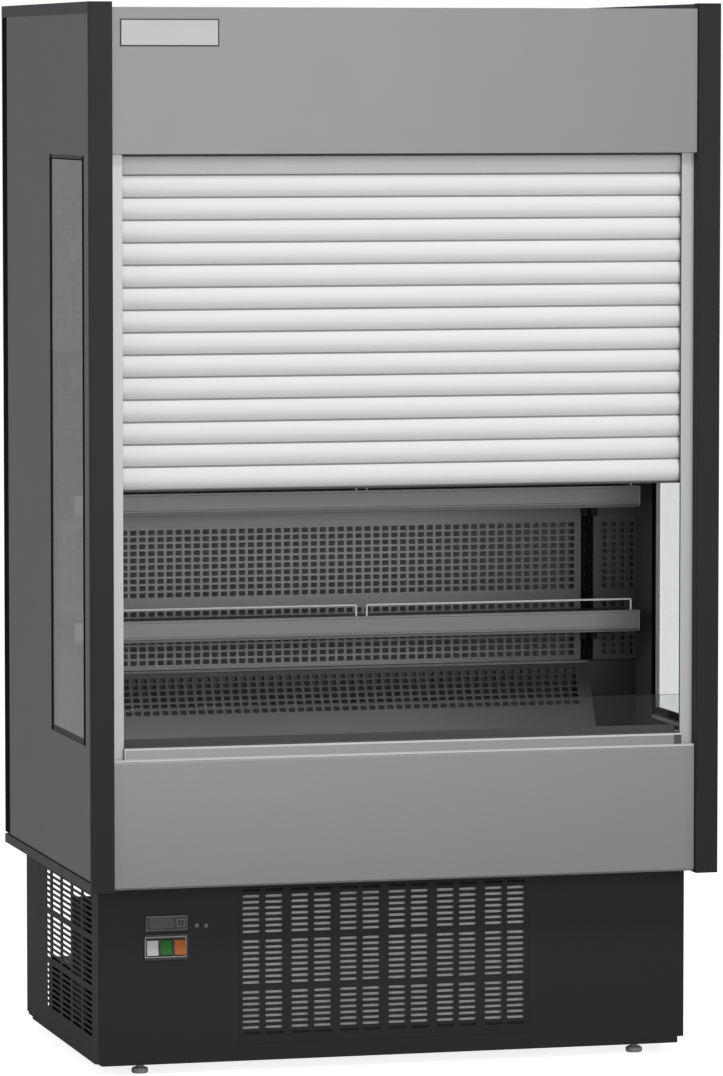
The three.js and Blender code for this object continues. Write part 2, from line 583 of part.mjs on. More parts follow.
function airDuct() {
  const edge = STANDARD_X - STANDARD_WIDTH / 2;
  const top = CANOPY_HEIGHT - FIT;
  const bottom = LEDGE_HEIGHT + 1;
  const slotHeight = 118;
  const groupPitch = 158.4;
  const firstGroup = 935; // middle of the lowest full group of perforations
  const airSlots = (u0, u1, pitch) => {
    const slots = [];
    for (let u = u0; u + 12 <= u1; u += pitch)
      for (let z = firstGroup; z < top - slotHeight / 2; z += groupPitch)
        slots.push(rectangle(u, u + 12, z - slotHeight / 2, z + slotHeight / 2));
    return slots;
  };
  piece('duct_panel_center',
    punched(facingFront, rectangle(-edge + FIT, edge - FIT, bottom, top),
      airSlots(-466, 466, 131.4), BACK_PANEL_DEPTH, SHEET), linerPaint);
  const outer = INNER_HALF_WIDTH - FIT;
  const narrow = punched(facingFront,
    rectangle(-outer, -STANDARD_X - STANDARD_WIDTH / 2 - FIT, bottom, top),
    airSlots(-580, -530, 26), BACK_PANEL_DEPTH, SHEET);
  mirroredPieces('duct_panel', narrow, linerPaint);

  // Slotted uprights that the shelf brackets hook into.
  const slotPitch = 50.8;
  const uprightSlots = [];
  for (let z = bottom + 30; z < top - 20; z += slotPitch)
    uprightSlots.push(rectangle(-STANDARD_X - 3, -STANDARD_X + 3, z, z + 16));
  const upright = punched(facingFront,
    rectangle(-STANDARD_X - STANDARD_WIDTH / 2, -edge, bottom, top), uprightSlots,
    BACK_PANEL_DEPTH - 2, 3);
  mirroredPieces('shelf_standard', upright, charcoalPaint);

  // The lower duct panel leans forward down to the deck, under a small ledge.
  const lean = Math.tan(LOWER_PANEL_LEAN);
  const drop = LEDGE_HEIGHT - 6 - DECK_HEIGHT;
  const foot = BACK_PANEL_DEPTH - drop * lean;
  const t = SHEET / Math.cos(LOWER_PANEL_LEAN);
  const d = BACK_PANEL_DEPTH;
  piece('lower_duct_panel', alongX(outline([
    [foot - 12, DECK_HEIGHT + FIT], [foot + t, DECK_HEIGHT + FIT], [d + t, LEDGE_HEIGHT - 6],
    [d + t, LEDGE_HEIGHT + 0.5], [d - 4, LEDGE_HEIGHT + 0.5], [d - 4, LEDGE_HEIGHT - 6],
    [d - 0.5, LEDGE_HEIGHT - 6.5], [foot, DECK_HEIGHT + FIT + 2], [foot - 12, DECK_HEIGHT + FIT + 2],
  ]), -LOWER_PANEL_HALF, LOWER_PANEL_HALF), linerPaint);

  // The deck pan turns up at the back, beside and behind the lower panel.
  piece('deck_pan', alongX(outline([
    [RETURN_REAR_DEPTH + FIT, DECK_HEIGHT - 12], [RETURN_REAR_DEPTH + FIT + SHEET, DECK_HEIGHT - 12],
    [RETURN_REAR_DEPTH + FIT + SHEET, DECK_HEIGHT - SHEET], [d + 6, DECK_HEIGHT - SHEET],
    [d + 6, LEDGE_HEIGHT - 3], [d + 4, LEDGE_HEIGHT - 3], [d + 4, DECK_HEIGHT],
    [RETURN_REAR_DEPTH + FIT, DECK_HEIGHT],
  ]), -outer, outer), linerPaint);
  const count = 20;
  const pitch = (2 * outer - 40) / count;
  const returnSlots = Array.from({ length: count }, (_, i) => {
    const x0 = -outer + 20 + i * pitch;
    return rectangle(x0 + 4, x0 + pitch - 4, RAIL_REAR_DEPTH + 10, RETURN_REAR_DEPTH - 8);
  });
  piece('return_grille',
    punched(lyingFlat, rectangle(-outer, outer, RAIL_REAR_DEPTH + FIT, RETURN_REAR_DEPTH),
      returnSlots, DECK_HEIGHT - SHEET, SHEET), linerPaint);
}

// ---------------------------------------------------------------- shelves
// A wire stop: up from the price rail, along, and down again.
function wireStop(x0, x1) {
  const path = new THREE.CurvePath();
  const depth = atDepth(SHELF_FRONT_DEPTH + SHEET + WIRE_RADIUS);
  const low = PRICE_RAIL_BOTTOM + 10;
  const high = WIRE_TOP - WIRE_RADIUS;
  const bend = 5;
  const at = (x, z) => new THREE.Vector3(x, depth, z);
  path.add(new THREE.LineCurve3(at(x0, low), at(x0, high - bend)));
  path.add(new THREE.LineCurve3(at(x0, high - bend), at(x0 + bend, high)));
  path.add(new THREE.LineCurve3(at(x0 + bend, high), at(x1 - bend, high)));
  path.add(new THREE.LineCurve3(at(x1 - bend, high), at(x1, high - bend)));
  path.add(new THREE.LineCurve3(at(x1, high - bend), at(x1, low)));
  const sides = 6;
  const section = new THREE.Shape(circle(0, 0, WIRE_RADIUS, sides).map(([u, v]) => new THREE.Vector2(u, v)));
  const rings = path.curves.flatMap((c, i) => (i ? [c.v2] : [c.v1, c.v2]));
  const polyline = new THREE.CatmullRomCurve3(rings, false, 'catmullrom', 0);
  return new THREE.ExtrudeGeometry(section, { steps: rings.length * 2 - 2, extrudePath: polyline });
}

function shelves() {
  const half = SHELF_HALF_LENGTH;
  const f = SHELF_FRONT_DEPTH + 2 * SHEET + 2 * WIRE_RADIUS;
  const back = BACK_PANEL_DEPTH - 3;
  const pan = alongX(outline([
    [f, -SHELF_LIP], [f + SHEET, -SHELF_LIP], [f + SHEET, -SHEET], [back - SHEET, -SHEET],
    [back - SHEET, -24], [back, -24], [back, 0], [f, 0],
  ]), -half, half);
  const bracketSide = outline([
    [f + SHEET + 4, -SHEET], [f + SHEET + 4, -14], [back - 32, -34], [back - 30, -60],
    [back, -60], [back, -SHEET],
  ]);
  const bracketAt = (x) => alongX(bracketSide, x - 2, x + 2);
  const shelf = join([pan, bracketAt(-STANDARD_X), bracketAt(STANDARD_X)]);
  const front = SHELF_FRONT_DEPTH;
  const rail = alongX(outline([
    [front, PRICE_RAIL_BOTTOM], [front + 2 * SHEET + 2 * WIRE_RADIUS - FIT, PRICE_RAIL_BOTTOM],
    [front + 2 * SHEET + 2 * WIRE_RADIUS - FIT, -2], [front + SHEET, PRICE_RAIL_TOP],
    [front, PRICE_RAIL_TOP],
  ]), -half, half);
  const priceRail = join([rail, wireStop(-WIRE_HALF_LENGTH, -WIRE_GAP), wireStop(WIRE_GAP, WIRE_HALF_LENGTH)]);
  for (let i = 0; i < SHELF_COUNT; i += 1) {
    const height = FIRST_SHELF_HEIGHT + i * SHELF_SPACING;
    piece(`shelf_${i + 1}`, shelf, shelfPaint).position.z = height;
    piece(`price_rail_${i + 1}`, priceRail, shelfPaint).position.z = height;
  }
}

// ---------------------------------------------------------------- fans
// An axial fan that turns about Y: a hub and pitched blades.
function axialFan(radius, hubRadius, hubLength, blades) {
  const hub = alongYAxis(turned([
    [0, -hubLength / 2], [hubRadius - 3, -hubLength / 2], [hubRadius, -hubLength / 2 + 4],
    [hubRadius, hubLength / 2], [0, hubLength / 2],
  ], 18));
  const root = hubRadius - 3;
  const bladeShape = outline([
    [root, -hubRadius * 0.45], [radius * 0.75, -radius * 0.3], [radius * 0.97, -radius * 0.12],
    [radius * 0.98, radius * 0.12], [radius * 0.78, radius * 0.24], [root, hubRadius * 0.45],
  ]);
  const thick = 2.5;
  const blade = extruded(bladeShape, thick).translate(0, 0, -thick / 2)
    .rotateX(THREE.MathUtils.degToRad(90 - 28));
  const all = Array.from({ length: blades }, (_, i) =>
    blade.clone().rotateY((2 * Math.PI * i) / blades));
  return join([hub, ...all]);
}

// A motor on three struts behind a fan opening, centred on x and z.
function motorMount(x, z, depth, ringRadius, motorRadius, motorLength, thick) {
  const motor = alongYAxis(turned([
    [0, 0], [motorRadius, 0], [motorRadius, motorLength - 5], [motorRadius - 6, motorLength],
    [0, motorLength],
  ], 16)).translate(x, atDepth(depth), z);
  const struts = [90, 210, 330].map((angle) => {
    const a = THREE.MathUtils.degToRad(angle);
    const length = ringRadius + 8 - motorRadius + 6;
    const middle = motorRadius - 6 + length / 2;
    return new THREE.BoxGeometry(length, thick, 14).rotateY(-a)
      .translate(x + middle * Math.cos(a), atDepth(depth + thick / 2), z + middle * Math.sin(a));
  });
  return [motor, ...struts];
}

function evaporator() {
  const floor = SHELL_BOTTOM + SHELL_WALL;
  const plateDepth = 430;
  const fanX = 260;
  const fanHeight = 499;
  const fanRadius = 74;
  const half = INNER_HALF_WIDTH - 1;
  const plateTop = DECK_HEIGHT - SHEET - FIT;
  const plate = facingFront(withHoles(
    outline(rectangle(-half, half, floor, plateTop)),
    [-1, 1].map((s) => circle(s * fanX, fanHeight, fanRadius + 4, 24))), plateDepth, 3);
  const mounts = [-1, 1].flatMap((s) =>
    motorMount(s * fanX, fanHeight, plateDepth + 2, fanRadius + 4, 24, 40, 5));
  piece('fan_plate', join([plate, ...mounts]), aluminium);
  [['left', -1], ['right', 1]].forEach(([hand, s]) => {
    const fan = piece(`evaporator_fan_${hand}`, axialFan(fanRadius, 26, 22, 5), plasticBlack);
    fan.position.set(s * fanX, atDepth(plateDepth - 12), fanHeight);
  });
  piece('evaporator_coil', finnedBlock(480, 525, 680, floor + FIT, 800, 16), aluminium);
}

// A heat exchanger: upright fins on a thin spine at the rear.
function finnedBlock(half, depth0, depth1, z0, z1, fins) {
  const finThick = 4;
  const pitch = (2 * half - finThick) / (fins - 1);
  const spine = depth1 - (depth1 - depth0) * 0.12;
  const points = [[-half, depth0]];
  for (let i = 0; i < fins; i += 1) {
    const x = -half + i * pitch;
    if (i) points.push([x, spine], [x, depth0]);
    points.push([x + finThick, depth0]);
    if (i < fins - 1) points.push([x + finThick, spine]);
  }
  points.push([half, depth1], [-half, depth1]);
  return lyingFlat(outline(points), z0, z1 - z0);
}

// ---------------------------------------------------------------- condensing unit
function condensingUnit() {
  const floor = FOOT_HEIGHT + 3;
  const middle = GRILLE_LEFT + 277;
  const front = BASE_FRONT_DEPTH + SHEET + FIT + 2;
  const coil = finnedBlock(282, front, 172, floor, 345, 24).translate(middle, 0, 0);
  piece('condenser_coil', coil, aluminium);

  const fanRadius = 122;
  const fanHeight = 190;
  const shroudDepth = 232;
  const opening = fanRadius + 6;
  const half = 272;
  const plate = facingFront(withHoles(
    outline(rectangle(middle - half, middle + half, floor, 345)),
    [circle(middle, fanHeight, opening, 32)]), shroudDepth, 3);
  const sides = [
    block(middle - half, middle - half + 3, 173, shroudDepth + 1, floor, 345),
    block(middle + half - 3, middle + half, 173, shroudDepth + 1, floor, 345),
    block(middle - half, middle + half, 173, shroudDepth + 1, 342, 345),
  ];
  const mount = motorMount(middle, fanHeight, shroudDepth + 2, opening, 38, 70, 6);
  piece('condenser_shroud', join([plate, ...sides, ...mount]), blackPaint);
  const fan = piece('condenser_fan', axialFan(fanRadius, 34, 36, 5), aluminium);
  fan.position.set(middle, atDepth(shroudDepth - 19), fanHeight);

  const pot = turned([
    [0, floor], [70, floor], [70, floor + 6], [84, floor + 22], [88, floor + 60], [88, floor + 95],
    [92, floor + 98], [92, floor + 104], [88, floor + 107], [84, floor + 160], [66, floor + 192],
    [34, floor + 208], [0, floor + 212],
  ], 28);
  const compressor = piece('compressor', pot, blackPaint);
  compressor.position.set(330, atDepth(500), 0);
}

// ---------------------------------------------------------------- controls
const ROCKER_PITCH = 26.5;
const ROCKER_WIDTH = 22;
const ROCKER_HEIGHT = 30;
const ROCKER_Z = 241;

function controls() {
  const left = CONTROL_X - CONTROLLER_WIDTH / 2;
  const right = CONTROL_X + CONTROLLER_WIDTH / 2;
  const front = BASE_FRONT_DEPTH - BEZEL_DEPTH;
  const bodyDepth = 60;
  const bezelWithBody = (width, z0, z1) => {
    const edge = width / 2;
    const body = edge - BODY_INSET;
    return join([
      block(CONTROL_X - edge, CONTROL_X + edge, front, BASE_FRONT_DEPTH - 0.02, z0, z1),
      block(CONTROL_X - body, CONTROL_X + body, BASE_FRONT_DEPTH - 1, BASE_FRONT_DEPTH + bodyDepth,
        z0 + BODY_INSET, z1 - BODY_INSET),
    ]);
  };
  const keyX = right - 12.5;
  const keyZ = (CONTROLLER_BOTTOM + CONTROLLER_TOP) / 2;
  const keySize = 11;
  const pocket = block(keyX - keySize / 2 - 0.5, keyX + keySize / 2 + 0.5, front - 1, front + 4,
    keyZ - keySize / 2 - 0.5, keyZ + keySize / 2 + 0.5);
  const display = block(left + 8, right - 26, front - 1, front + 1.2, keyZ - 9, keyZ + 9);
  piece('controller',
    cut(bezelWithBody(CONTROLLER_WIDTH, CONTROLLER_BOTTOM, CONTROLLER_TOP), [pocket, display]),
    plasticBlack);
  const key = piece('controller_key', new THREE.BoxGeometry(keySize, 3, keySize), plasticBlack);
  key.position.set(keyX, atDepth(front + 1), keyZ);

  const wells = [-1, 0, 1].map((i) => {
    const x = CONTROL_X + i * ROCKER_PITCH;
    return block(x - ROCKER_WIDTH / 2 - 0.6, x + ROCKER_WIDTH / 2 + 0.6, front - 1, front + 16,
      ROCKER_Z - ROCKER_HEIGHT / 2 - 1.6, ROCKER_Z + ROCKER_HEIGHT / 2 + 1.6);
  });
  piece('switch_frame',
    cut(bezelWithBody(SWITCH_FRAME_WIDTH, SWITCH_FRAME_BOTTOM, SWITCH_FRAME_TOP), wells),
    plasticBlack);

  // A rocker: two flats meeting in a shallow valley over a round back.
  const h = ROCKER_HEIGHT / 2;
  const rockerShape = outline([
    [-1, -h + 1], [4, -h], [9, -h * 0.55], [10.5, 0], [9, h * 0.55], [4, h], [-1, h - 1], [1.4, 0],
  ]);
  const rocker = extruded(rockerShape, ROCKER_WIDTH).applyMatrix4(ALONG_X)
    .translate(-ROCKER_WIDTH / 2, 0, 0).rotateX(THREE.MathUtils.degToRad(-7));
  [plasticWhite, plasticGreen, plasticAmber].forEach((colour, i) => {
    const mesh = piece(`rocker_switch_${i + 1}`, rocker, colour);
    mesh.position.set(CONTROL_X + (i - 1) * ROCKER_PITCH, atDepth(front + 1), ROCKER_Z);
  });
}

machineBase();
cabinet();
frontPanels();
rollerShutter();
canopy();
airDuct();
shelves();
evaporator();
condensingUnit();
controls();

export default fridge;
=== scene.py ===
"""Open display fridge: the looks of each panel, slat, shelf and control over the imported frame.

Lengths are given in millimetres, and placed() turns them into metres. A depth is counted back
from the front of the end trims, as in the part's own drawing. A side is -1 on the left and 1 on
the right.
"""

import bpy
import numpy as np
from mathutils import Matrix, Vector


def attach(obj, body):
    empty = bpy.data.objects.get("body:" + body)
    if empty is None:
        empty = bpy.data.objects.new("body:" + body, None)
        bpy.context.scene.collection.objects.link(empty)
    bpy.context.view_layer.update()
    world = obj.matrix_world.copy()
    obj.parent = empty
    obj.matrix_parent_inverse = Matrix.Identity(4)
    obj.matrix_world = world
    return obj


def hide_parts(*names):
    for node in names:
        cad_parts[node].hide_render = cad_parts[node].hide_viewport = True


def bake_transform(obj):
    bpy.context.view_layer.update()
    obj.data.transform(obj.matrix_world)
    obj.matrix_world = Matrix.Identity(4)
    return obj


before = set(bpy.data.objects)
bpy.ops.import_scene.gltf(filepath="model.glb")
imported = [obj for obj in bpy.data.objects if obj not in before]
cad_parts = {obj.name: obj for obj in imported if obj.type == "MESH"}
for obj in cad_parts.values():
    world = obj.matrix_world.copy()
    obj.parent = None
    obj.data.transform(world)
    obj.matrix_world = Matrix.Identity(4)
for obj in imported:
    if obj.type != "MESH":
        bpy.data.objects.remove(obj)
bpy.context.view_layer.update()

CABINET = "cabinet"
HANDS = (("left", -1), ("right", 1))
FRONT = 403.0  # the front face is this far in front of the origin
REAR, TOP = 806.0, 2012.0  # the depth of the back and the height of the top
CABINET_FOOT, SKIRT_TOP = 361.0, 379.0
PANEL_OUTSIDE, PANEL_INSIDE = 610.0, 594.0  # the faces of the end panels, from the middle
PANEL_FOOT, PANEL_TOP, PANEL_REAR = 383.0, 1990.0, 755.0
TRIM_INSIDE = 566.0
FASCIA_END, SILL_END, SLAT_END, SHELF_END = 565.5, 541.7, 559.0, 560.0  # from the middle


# ------------------------------------------------------------------ shapes
def placed(x, depth, z):
    """Millimetres as x, depth behind the front and height, to metres in the shared frame."""
    x, depth, z = np.broadcast_arrays(x, depth, z)
    return np.stack([x, depth - FRONT, z], axis=-1).reshape(-1, 3).astype(float) / 1000


def welded(points, faces):
    """Joins points that lie within a thousandth of a millimetre of each other."""
    keys, back = np.unique(np.round(points * 1e6).astype(np.int64), axis=0, return_inverse=True)
    back = np.asarray(back).reshape(-1)
    return keys / 1e6, [[int(back[i]) for i in face] for face in faces]


def make_piece(name, points, faces, finish, body=CABINET, bevel=0.0, smooth=True, turn=40.0):
    """A mesh from points and faces, riding on a body. The edges where it turns by more than
    turn degrees stay sharp, or are eased by bevel mm."""
    mesh = bpy.data.meshes.new(name)
    mesh.from_pydata(np.asarray(points).tolist(), [], [list(map(int, f)) for f in faces])
    mesh.update()
    piece = bpy.data.objects.new(name, mesh)
    bpy.context.collection.objects.link(piece)
    mesh.materials.append(finish)
    if smooth:
        mesh.shade_smooth()
        mesh.set_sharp_from_angle(angle=np.radians(turn))
    if bevel:
        ease = piece.modifiers.new("eased_edges", "BEVEL")
        ease.width = bevel / 1000
        ease.segments = 2
        ease.limit_method = "ANGLE"
        ease.angle_limit = np.radians(turn)
        ease.harden_normals = True
    if body:
        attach(piece, body)
    return piece


def grid_faces(rows, columns):
    """Quads over a grid of rows by columns of points, its last column joined to the first."""
    i = np.arange(rows - 1)[:, None]
    j = np.arange(columns)[None, :]
    k = (j + 1) % columns
    a = i * columns + j
    b = i * columns + k
    c = (i + 1) * columns + k
    d = (i + 1) * columns + j
    return np.stack([a, b, c, d], axis=-1).reshape(-1, 4).tolist()


def tube_faces(rings, sides):
    """The walls between the rings of a tube, and the two faces that close its ends."""
    ends = [list(range(sides))[::-1], list(range((rings - 1) * sides, rings * sides))]
    return grid_faces(rings, sides) + ends


def anticlockwise(profile):
    """An outline that runs anticlockwise. It is turned back to front where twice its signed
    area, the sum over its edges of u times the next v less v times the next u, is below 0."""
    profile = np.asarray(profile, float)
    u, v = profile[:, 0], profile[:, 1]
    twice_area = np.sum(u * np.roll(v, -1) - v * np.roll(u, -1))
    return profile[::-1] if twice_area < 0 else profile


def section_along_x(profile, x0, x1):
    """A closed outline of depth and height carried along from x0 to x1."""
    depth, height = anticlockwise(profile).T
    return placed(np.array([x0, x1])[:, None], depth, height), tube_faces(2, len(profile))


def section_along_z(profile, z0, z1):
    """A closed outline of x and depth carried up from z0 to z1."""
    x, depth = anticlockwise(profile).T
    return placed(x, depth, np.array([z0, z1])[:, None]), tube_faces(2, len(profile))


def box_faces(x0, x1, d0, d1, z0, z1):
    """The eight corners and six faces of a box."""
    return section_along_z([[x0, d0], [x1, d0], [x1, d1], [x0, d1]], z0, z1)


def joined(*parts):
    """Several sets of points and faces as one set."""
    points, faces, start = [], [], 0
    for p, f in parts:
        points.append(np.asarray(p))
        faces += [[i + start for i in face] for face in f]
        start += len(p)
    return np.concatenate(points), faces


def span(side, near, far):
    """Two distances from the middle as the lower and the higher x on one side of it."""
    return sorted((side * near, side * far))


def turned_round(profile, centre, sides):
    """Points of radius and depth turned round a line from front to rear: x and height are the
    centre's plus the radius times sine and cosine. Rings of no radius close to a point, and
    the faces that vanish there are dropped."""
    radius, depth = np.asarray(profile, float).T[:, :, None]
    a = np.linspace(0, 2 * np.pi, sides, endpoint=False)
    points = placed(radius * np.sin(a) + centre[0], depth + centre[1],
                    radius * np.cos(a) + centre[2])
    points, faces = welded(points, tube_faces(len(profile), sides))
    faces = [[v for i, v in enumerate(face) if v != face[i - 1]] for face in faces]
    return points, [face for face in faces if len(set(face)) > 2]


def bent_path(corners, radius, steps=5):
    """A path through corners in one plane, each inner corner rounded by a quadratic curve
    that starts and ends a radius away from it."""
    corners = np.asarray(corners, float)
    before = corners[:-2] - corners[1:-1]
    after = corners[2:] - corners[1:-1]
    before *= radius / np.linalg.norm(before, axis=1, keepdims=True)
    after *= radius / np.linalg.norm(after, axis=1, keepdims=True)
    t = np.linspace(0, 1, steps)[None, :, None]
    middle = corners[1:-1][:, None]
    start, end = middle + before[:, None], middle + after[:, None]
    bends = (1 - t) ** 2 * start + 2 * t * (1 - t) * middle + t**2 * end
    return np.concatenate([corners[:1], bends.reshape(-1, corners.shape[1]), corners[-1:]])


def wire_along(path, radius, sides=8):
    """A round wire along a path of x, depth and z in an upright plane of constant depth:
    each ring is the point plus the radius times cosine across and sine in depth."""
    path = np.asarray(path, float)
    tangent = np.gradient(path, axis=0)
    tangent /= np.linalg.norm(tangent, axis=1, keepdims=True)
    across = np.stack([tangent[:, 2], 0 * tangent[:, 0], -tangent[:, 0]], axis=1)
    a = np.linspace(0, 2 * np.pi, sides, endpoint=False)
    back = np.array([0, 1, 0])
    ring = path[:, None] + radius * (
        np.cos(a)[None, :, None] * across[:, None] + np.sin(a)[None, :, None] * back)
    points = placed(ring[..., 0], ring[..., 1], ring[..., 2])
    return points, tube_faces(len(path), sides)


def pierced_sheet(u_edges, v_edges, u_mid, v_mid, half_u, half_v, thick, place, sides=8,
                  square=0.4):
    """A sheet of cells, each with one hole. Around a hole, the inner ring is its middle plus
    half_u and half_v times the signed powers of cosine and sine, and the outer ring is the
    same angle pushed out to the cell's edge. The lower the power square is, the squarer the
    hole. place(u, v, w) puts the sheet in the shared frame, w being how far behind its front
    face a point is."""
    a = np.arange(sides) * 2 * np.pi / sides
    c, s = np.round(np.cos(a), 9), np.round(np.sin(a), 9)
    hole_u = half_u * np.sign(c) * np.abs(c) ** square
    hole_v = half_v * np.sign(s) * np.abs(s) ** square
    edge_u = np.clip(np.sqrt(2) * c, -1, 1)
    edge_v = np.clip(np.sqrt(2) * s, -1, 1)
    u_edges, v_edges = np.asarray(u_edges, float), np.asarray(v_edges, float)
    u_mid, v_mid = np.asarray(u_mid, float), np.asarray(v_mid, float)
    lo_u, hi_u = u_edges[:-1, None, None], u_edges[1:, None, None]
    lo_v, hi_v = v_edges[None, :-1, None], v_edges[None, 1:, None]
    n, m = len(u_mid), len(v_mid)
    out_u = np.broadcast_to((lo_u + hi_u) / 2 + edge_u * (hi_u - lo_u) / 2, (n, m, sides))
    out_v = np.broadcast_to((lo_v + hi_v) / 2 + edge_v * (hi_v - lo_v) / 2, (n, m, sides))
    in_u = np.broadcast_to(u_mid[:, None, None] + hole_u, (n, m, sides))
    in_v = np.broadcast_to(v_mid[None, :, None] + hole_v, (n, m, sides))
    u = np.stack([out_u, in_u, in_u, out_u], axis=2)
    v = np.stack([out_v, in_v, in_v, out_v], axis=2)
    w = np.broadcast_to(np.array([0, 0, thick, thick])[None, None, :, None], u.shape)
    points = place(u.ravel(), v.ravel(), w.ravel())
    one = np.array(grid_faces(4, sides))
    starts = (np.arange(n * m) * 4 * sides)[:, None, None]
    faces = (starts + one[None]).reshape(-1, 4)
    faces = faces.tolist() + rim_faces(n, m, sides)
    origin, step_u, step_v, step_w = place(*np.array([[0, 1, 0, 0], [0, 0, 1, 0], [0, 0, 0, 1.0]]))
    if np.dot(np.cross(step_u - origin, step_v - origin), step_w - origin) > 0:
        faces = [face[::-1] for face in faces]
    return welded(points, faces)


def rim_faces(n, m, sides):
    """The faces that close a pierced sheet along its four outer edges."""
    e = sides // 8
    spans = {"u1": (-e, e), "v1": (e, 3 * e), "u0": (3 * e, 5 * e), "v0": (5 * e, 7 * e)}
    cells = {"u1": [(n - 1, j) for j in range(m)], "u0": [(0, j) for j in range(m)],
             "v1": [(i, m - 1) for i in range(n)], "v0": [(i, 0) for i in range(n)]}
    faces = []
    for side, (first, last) in spans.items():
        for i, j in cells[side]:
            base = (i * m + j) * 4 * sides
            for k in range(first, last):
                p, q = k % sides, (k + 1) % sides
                faces.append([base + q, base + p, base + 3 * sides + p, base + 3 * sides + q])
    return faces


def upright(depth):
    """Places a sheet of x and height with its front face at a depth."""
    return lambda u, v, w: placed(u, depth + w, v)


def lying(height):
    """Places a sheet of x and depth with its underside at a height."""
    return lambda u, v, w: placed(u, v, height + w)


def end_on(x, side):
    """Places a sheet of depth and height with its outer face at x, on one side."""
    return lambda u, v, w: placed(x - side * w, u, v)


def middles_to_edges(middles, low, high):
    """Cell edges half way between the middles, with the sheet's own ends outside them."""
    middles = np.asarray(middles, float)
    return np.concatenate([[low], (middles[1:] + middles[:-1]) / 2, [high]])


# ------------------------------------------------------------------ finishes
def maths(tree, operation, *values):
    """What a maths node puts out. Each value is a number or the output that feeds it."""
    node = tree.nodes.new("ShaderNodeMath")
    node.operation = operation
    for socket, value in zip(node.inputs, values):
        if isinstance(value, bpy.types.NodeSocket):
            tree.links.new(value, socket)
        else:
            socket.default_value = value
    return node.outputs[0]


def scaled(tree, colour, share):
    """A colour output times a number output."""
    node = tree.nodes.new("ShaderNodeVectorMath")
    node.operation = "SCALE"
    tree.links.new(colour, node.inputs[0])
    tree.links.new(share, node.inputs["Scale"])
    return node.outputs[0]


def own_place(tree):
    """A point's place in its object's own frame."""
    return tree.nodes.new("ShaderNodeTexCoord").outputs["Object"]


def surface_grain():
    """A group that varies a finish: it mottles the colour and the roughness, and adds a fine
    grain, which the Stretch input draws out along one axis for brushed metal."""
    group = bpy.data.node_groups.new("surface_grain", "ShaderNodeTree")
    inputs = [("Colour", "NodeSocketColor", (0.5, 0.5, 0.5, 1)),
              ("Mottle", "NodeSocketFloat", 0.04), ("Roughness", "NodeSocketFloat", 0.4),
              ("Spread", "NodeSocketFloat", 0.06), ("Grain Size", "NodeSocketFloat", 900.0),
              ("Grain Height", "NodeSocketFloat", 0.1),
              ("Stretch", "NodeSocketVector", (1, 1, 1))]
    for title, kind, value in inputs:
        group.interface.new_socket(title, in_out="INPUT", socket_type=kind).default_value = value
    for title, kind in [("Colour", "NodeSocketColor"), ("Roughness", "NodeSocketFloat"),
                        ("Normal", "NodeSocketVector")]:
        group.interface.new_socket(title, in_out="OUTPUT", socket_type=kind)
    node, link = group.nodes.new, group.links.new
    given, result = node("NodeGroupInput").outputs, node("NodeGroupOutput").inputs
    place = own_place(group)
    stretched = node("ShaderNodeVectorMath")
    stretched.operation = "MULTIPLY"
    link(place, stretched.inputs[0])
    link(given["Stretch"], stretched.inputs[1])
    cloud, grain = node("ShaderNodeTexNoise"), node("ShaderNodeTexNoise")
    cloud.inputs["Scale"].default_value = 7.0
    cloud.inputs["Detail"].default_value = 4.0
    link(place, cloud.inputs["Vector"])
    grain.inputs["Detail"].default_value = 2.0
    link(stretched.outputs[0], grain.inputs["Vector"])
    link(given["Grain Size"], grain.inputs["Scale"])
    centred = maths(group, "SUBTRACT", cloud.outputs["Fac"], 0.5)
    shade = maths(group, "MULTIPLY_ADD", centred, given["Mottle"], 1.0)
    rough = maths(group, "MULTIPLY_ADD", centred, given["Spread"], given["Roughness"])
    bump = node("ShaderNodeBump")
    bump.inputs["Distance"].default_value = 0.0004
    link(given["Grain Height"], bump.inputs["Strength"])
    link(grain.outputs["Fac"], bump.inputs["Height"])
    link(scaled(group, given["Colour"], shade), result["Colour"])
    link(rough, result["Roughness"])
    link(bump.outputs[0], result["Normal"])
    return group


GRAIN = surface_grain()


def linear(value):
    """An 8-bit screen value as linear light."""
    value = value / 255
    return value / 12.92 if value <= 0.04045 else ((value + 0.055) / 1.055) ** 2.4


def opaque(rgb):
    """An 8-bit screen colour as linear light with nothing showing through."""
    return tuple(linear(c) for c in rgb) + (1,)


def new_material(name):
    """A new material, its node tree and its shader."""
    material = bpy.data.materials.new(name)
    material.use_nodes = True
    return material, material.node_tree, material.node_tree.nodes["Principled BSDF"]


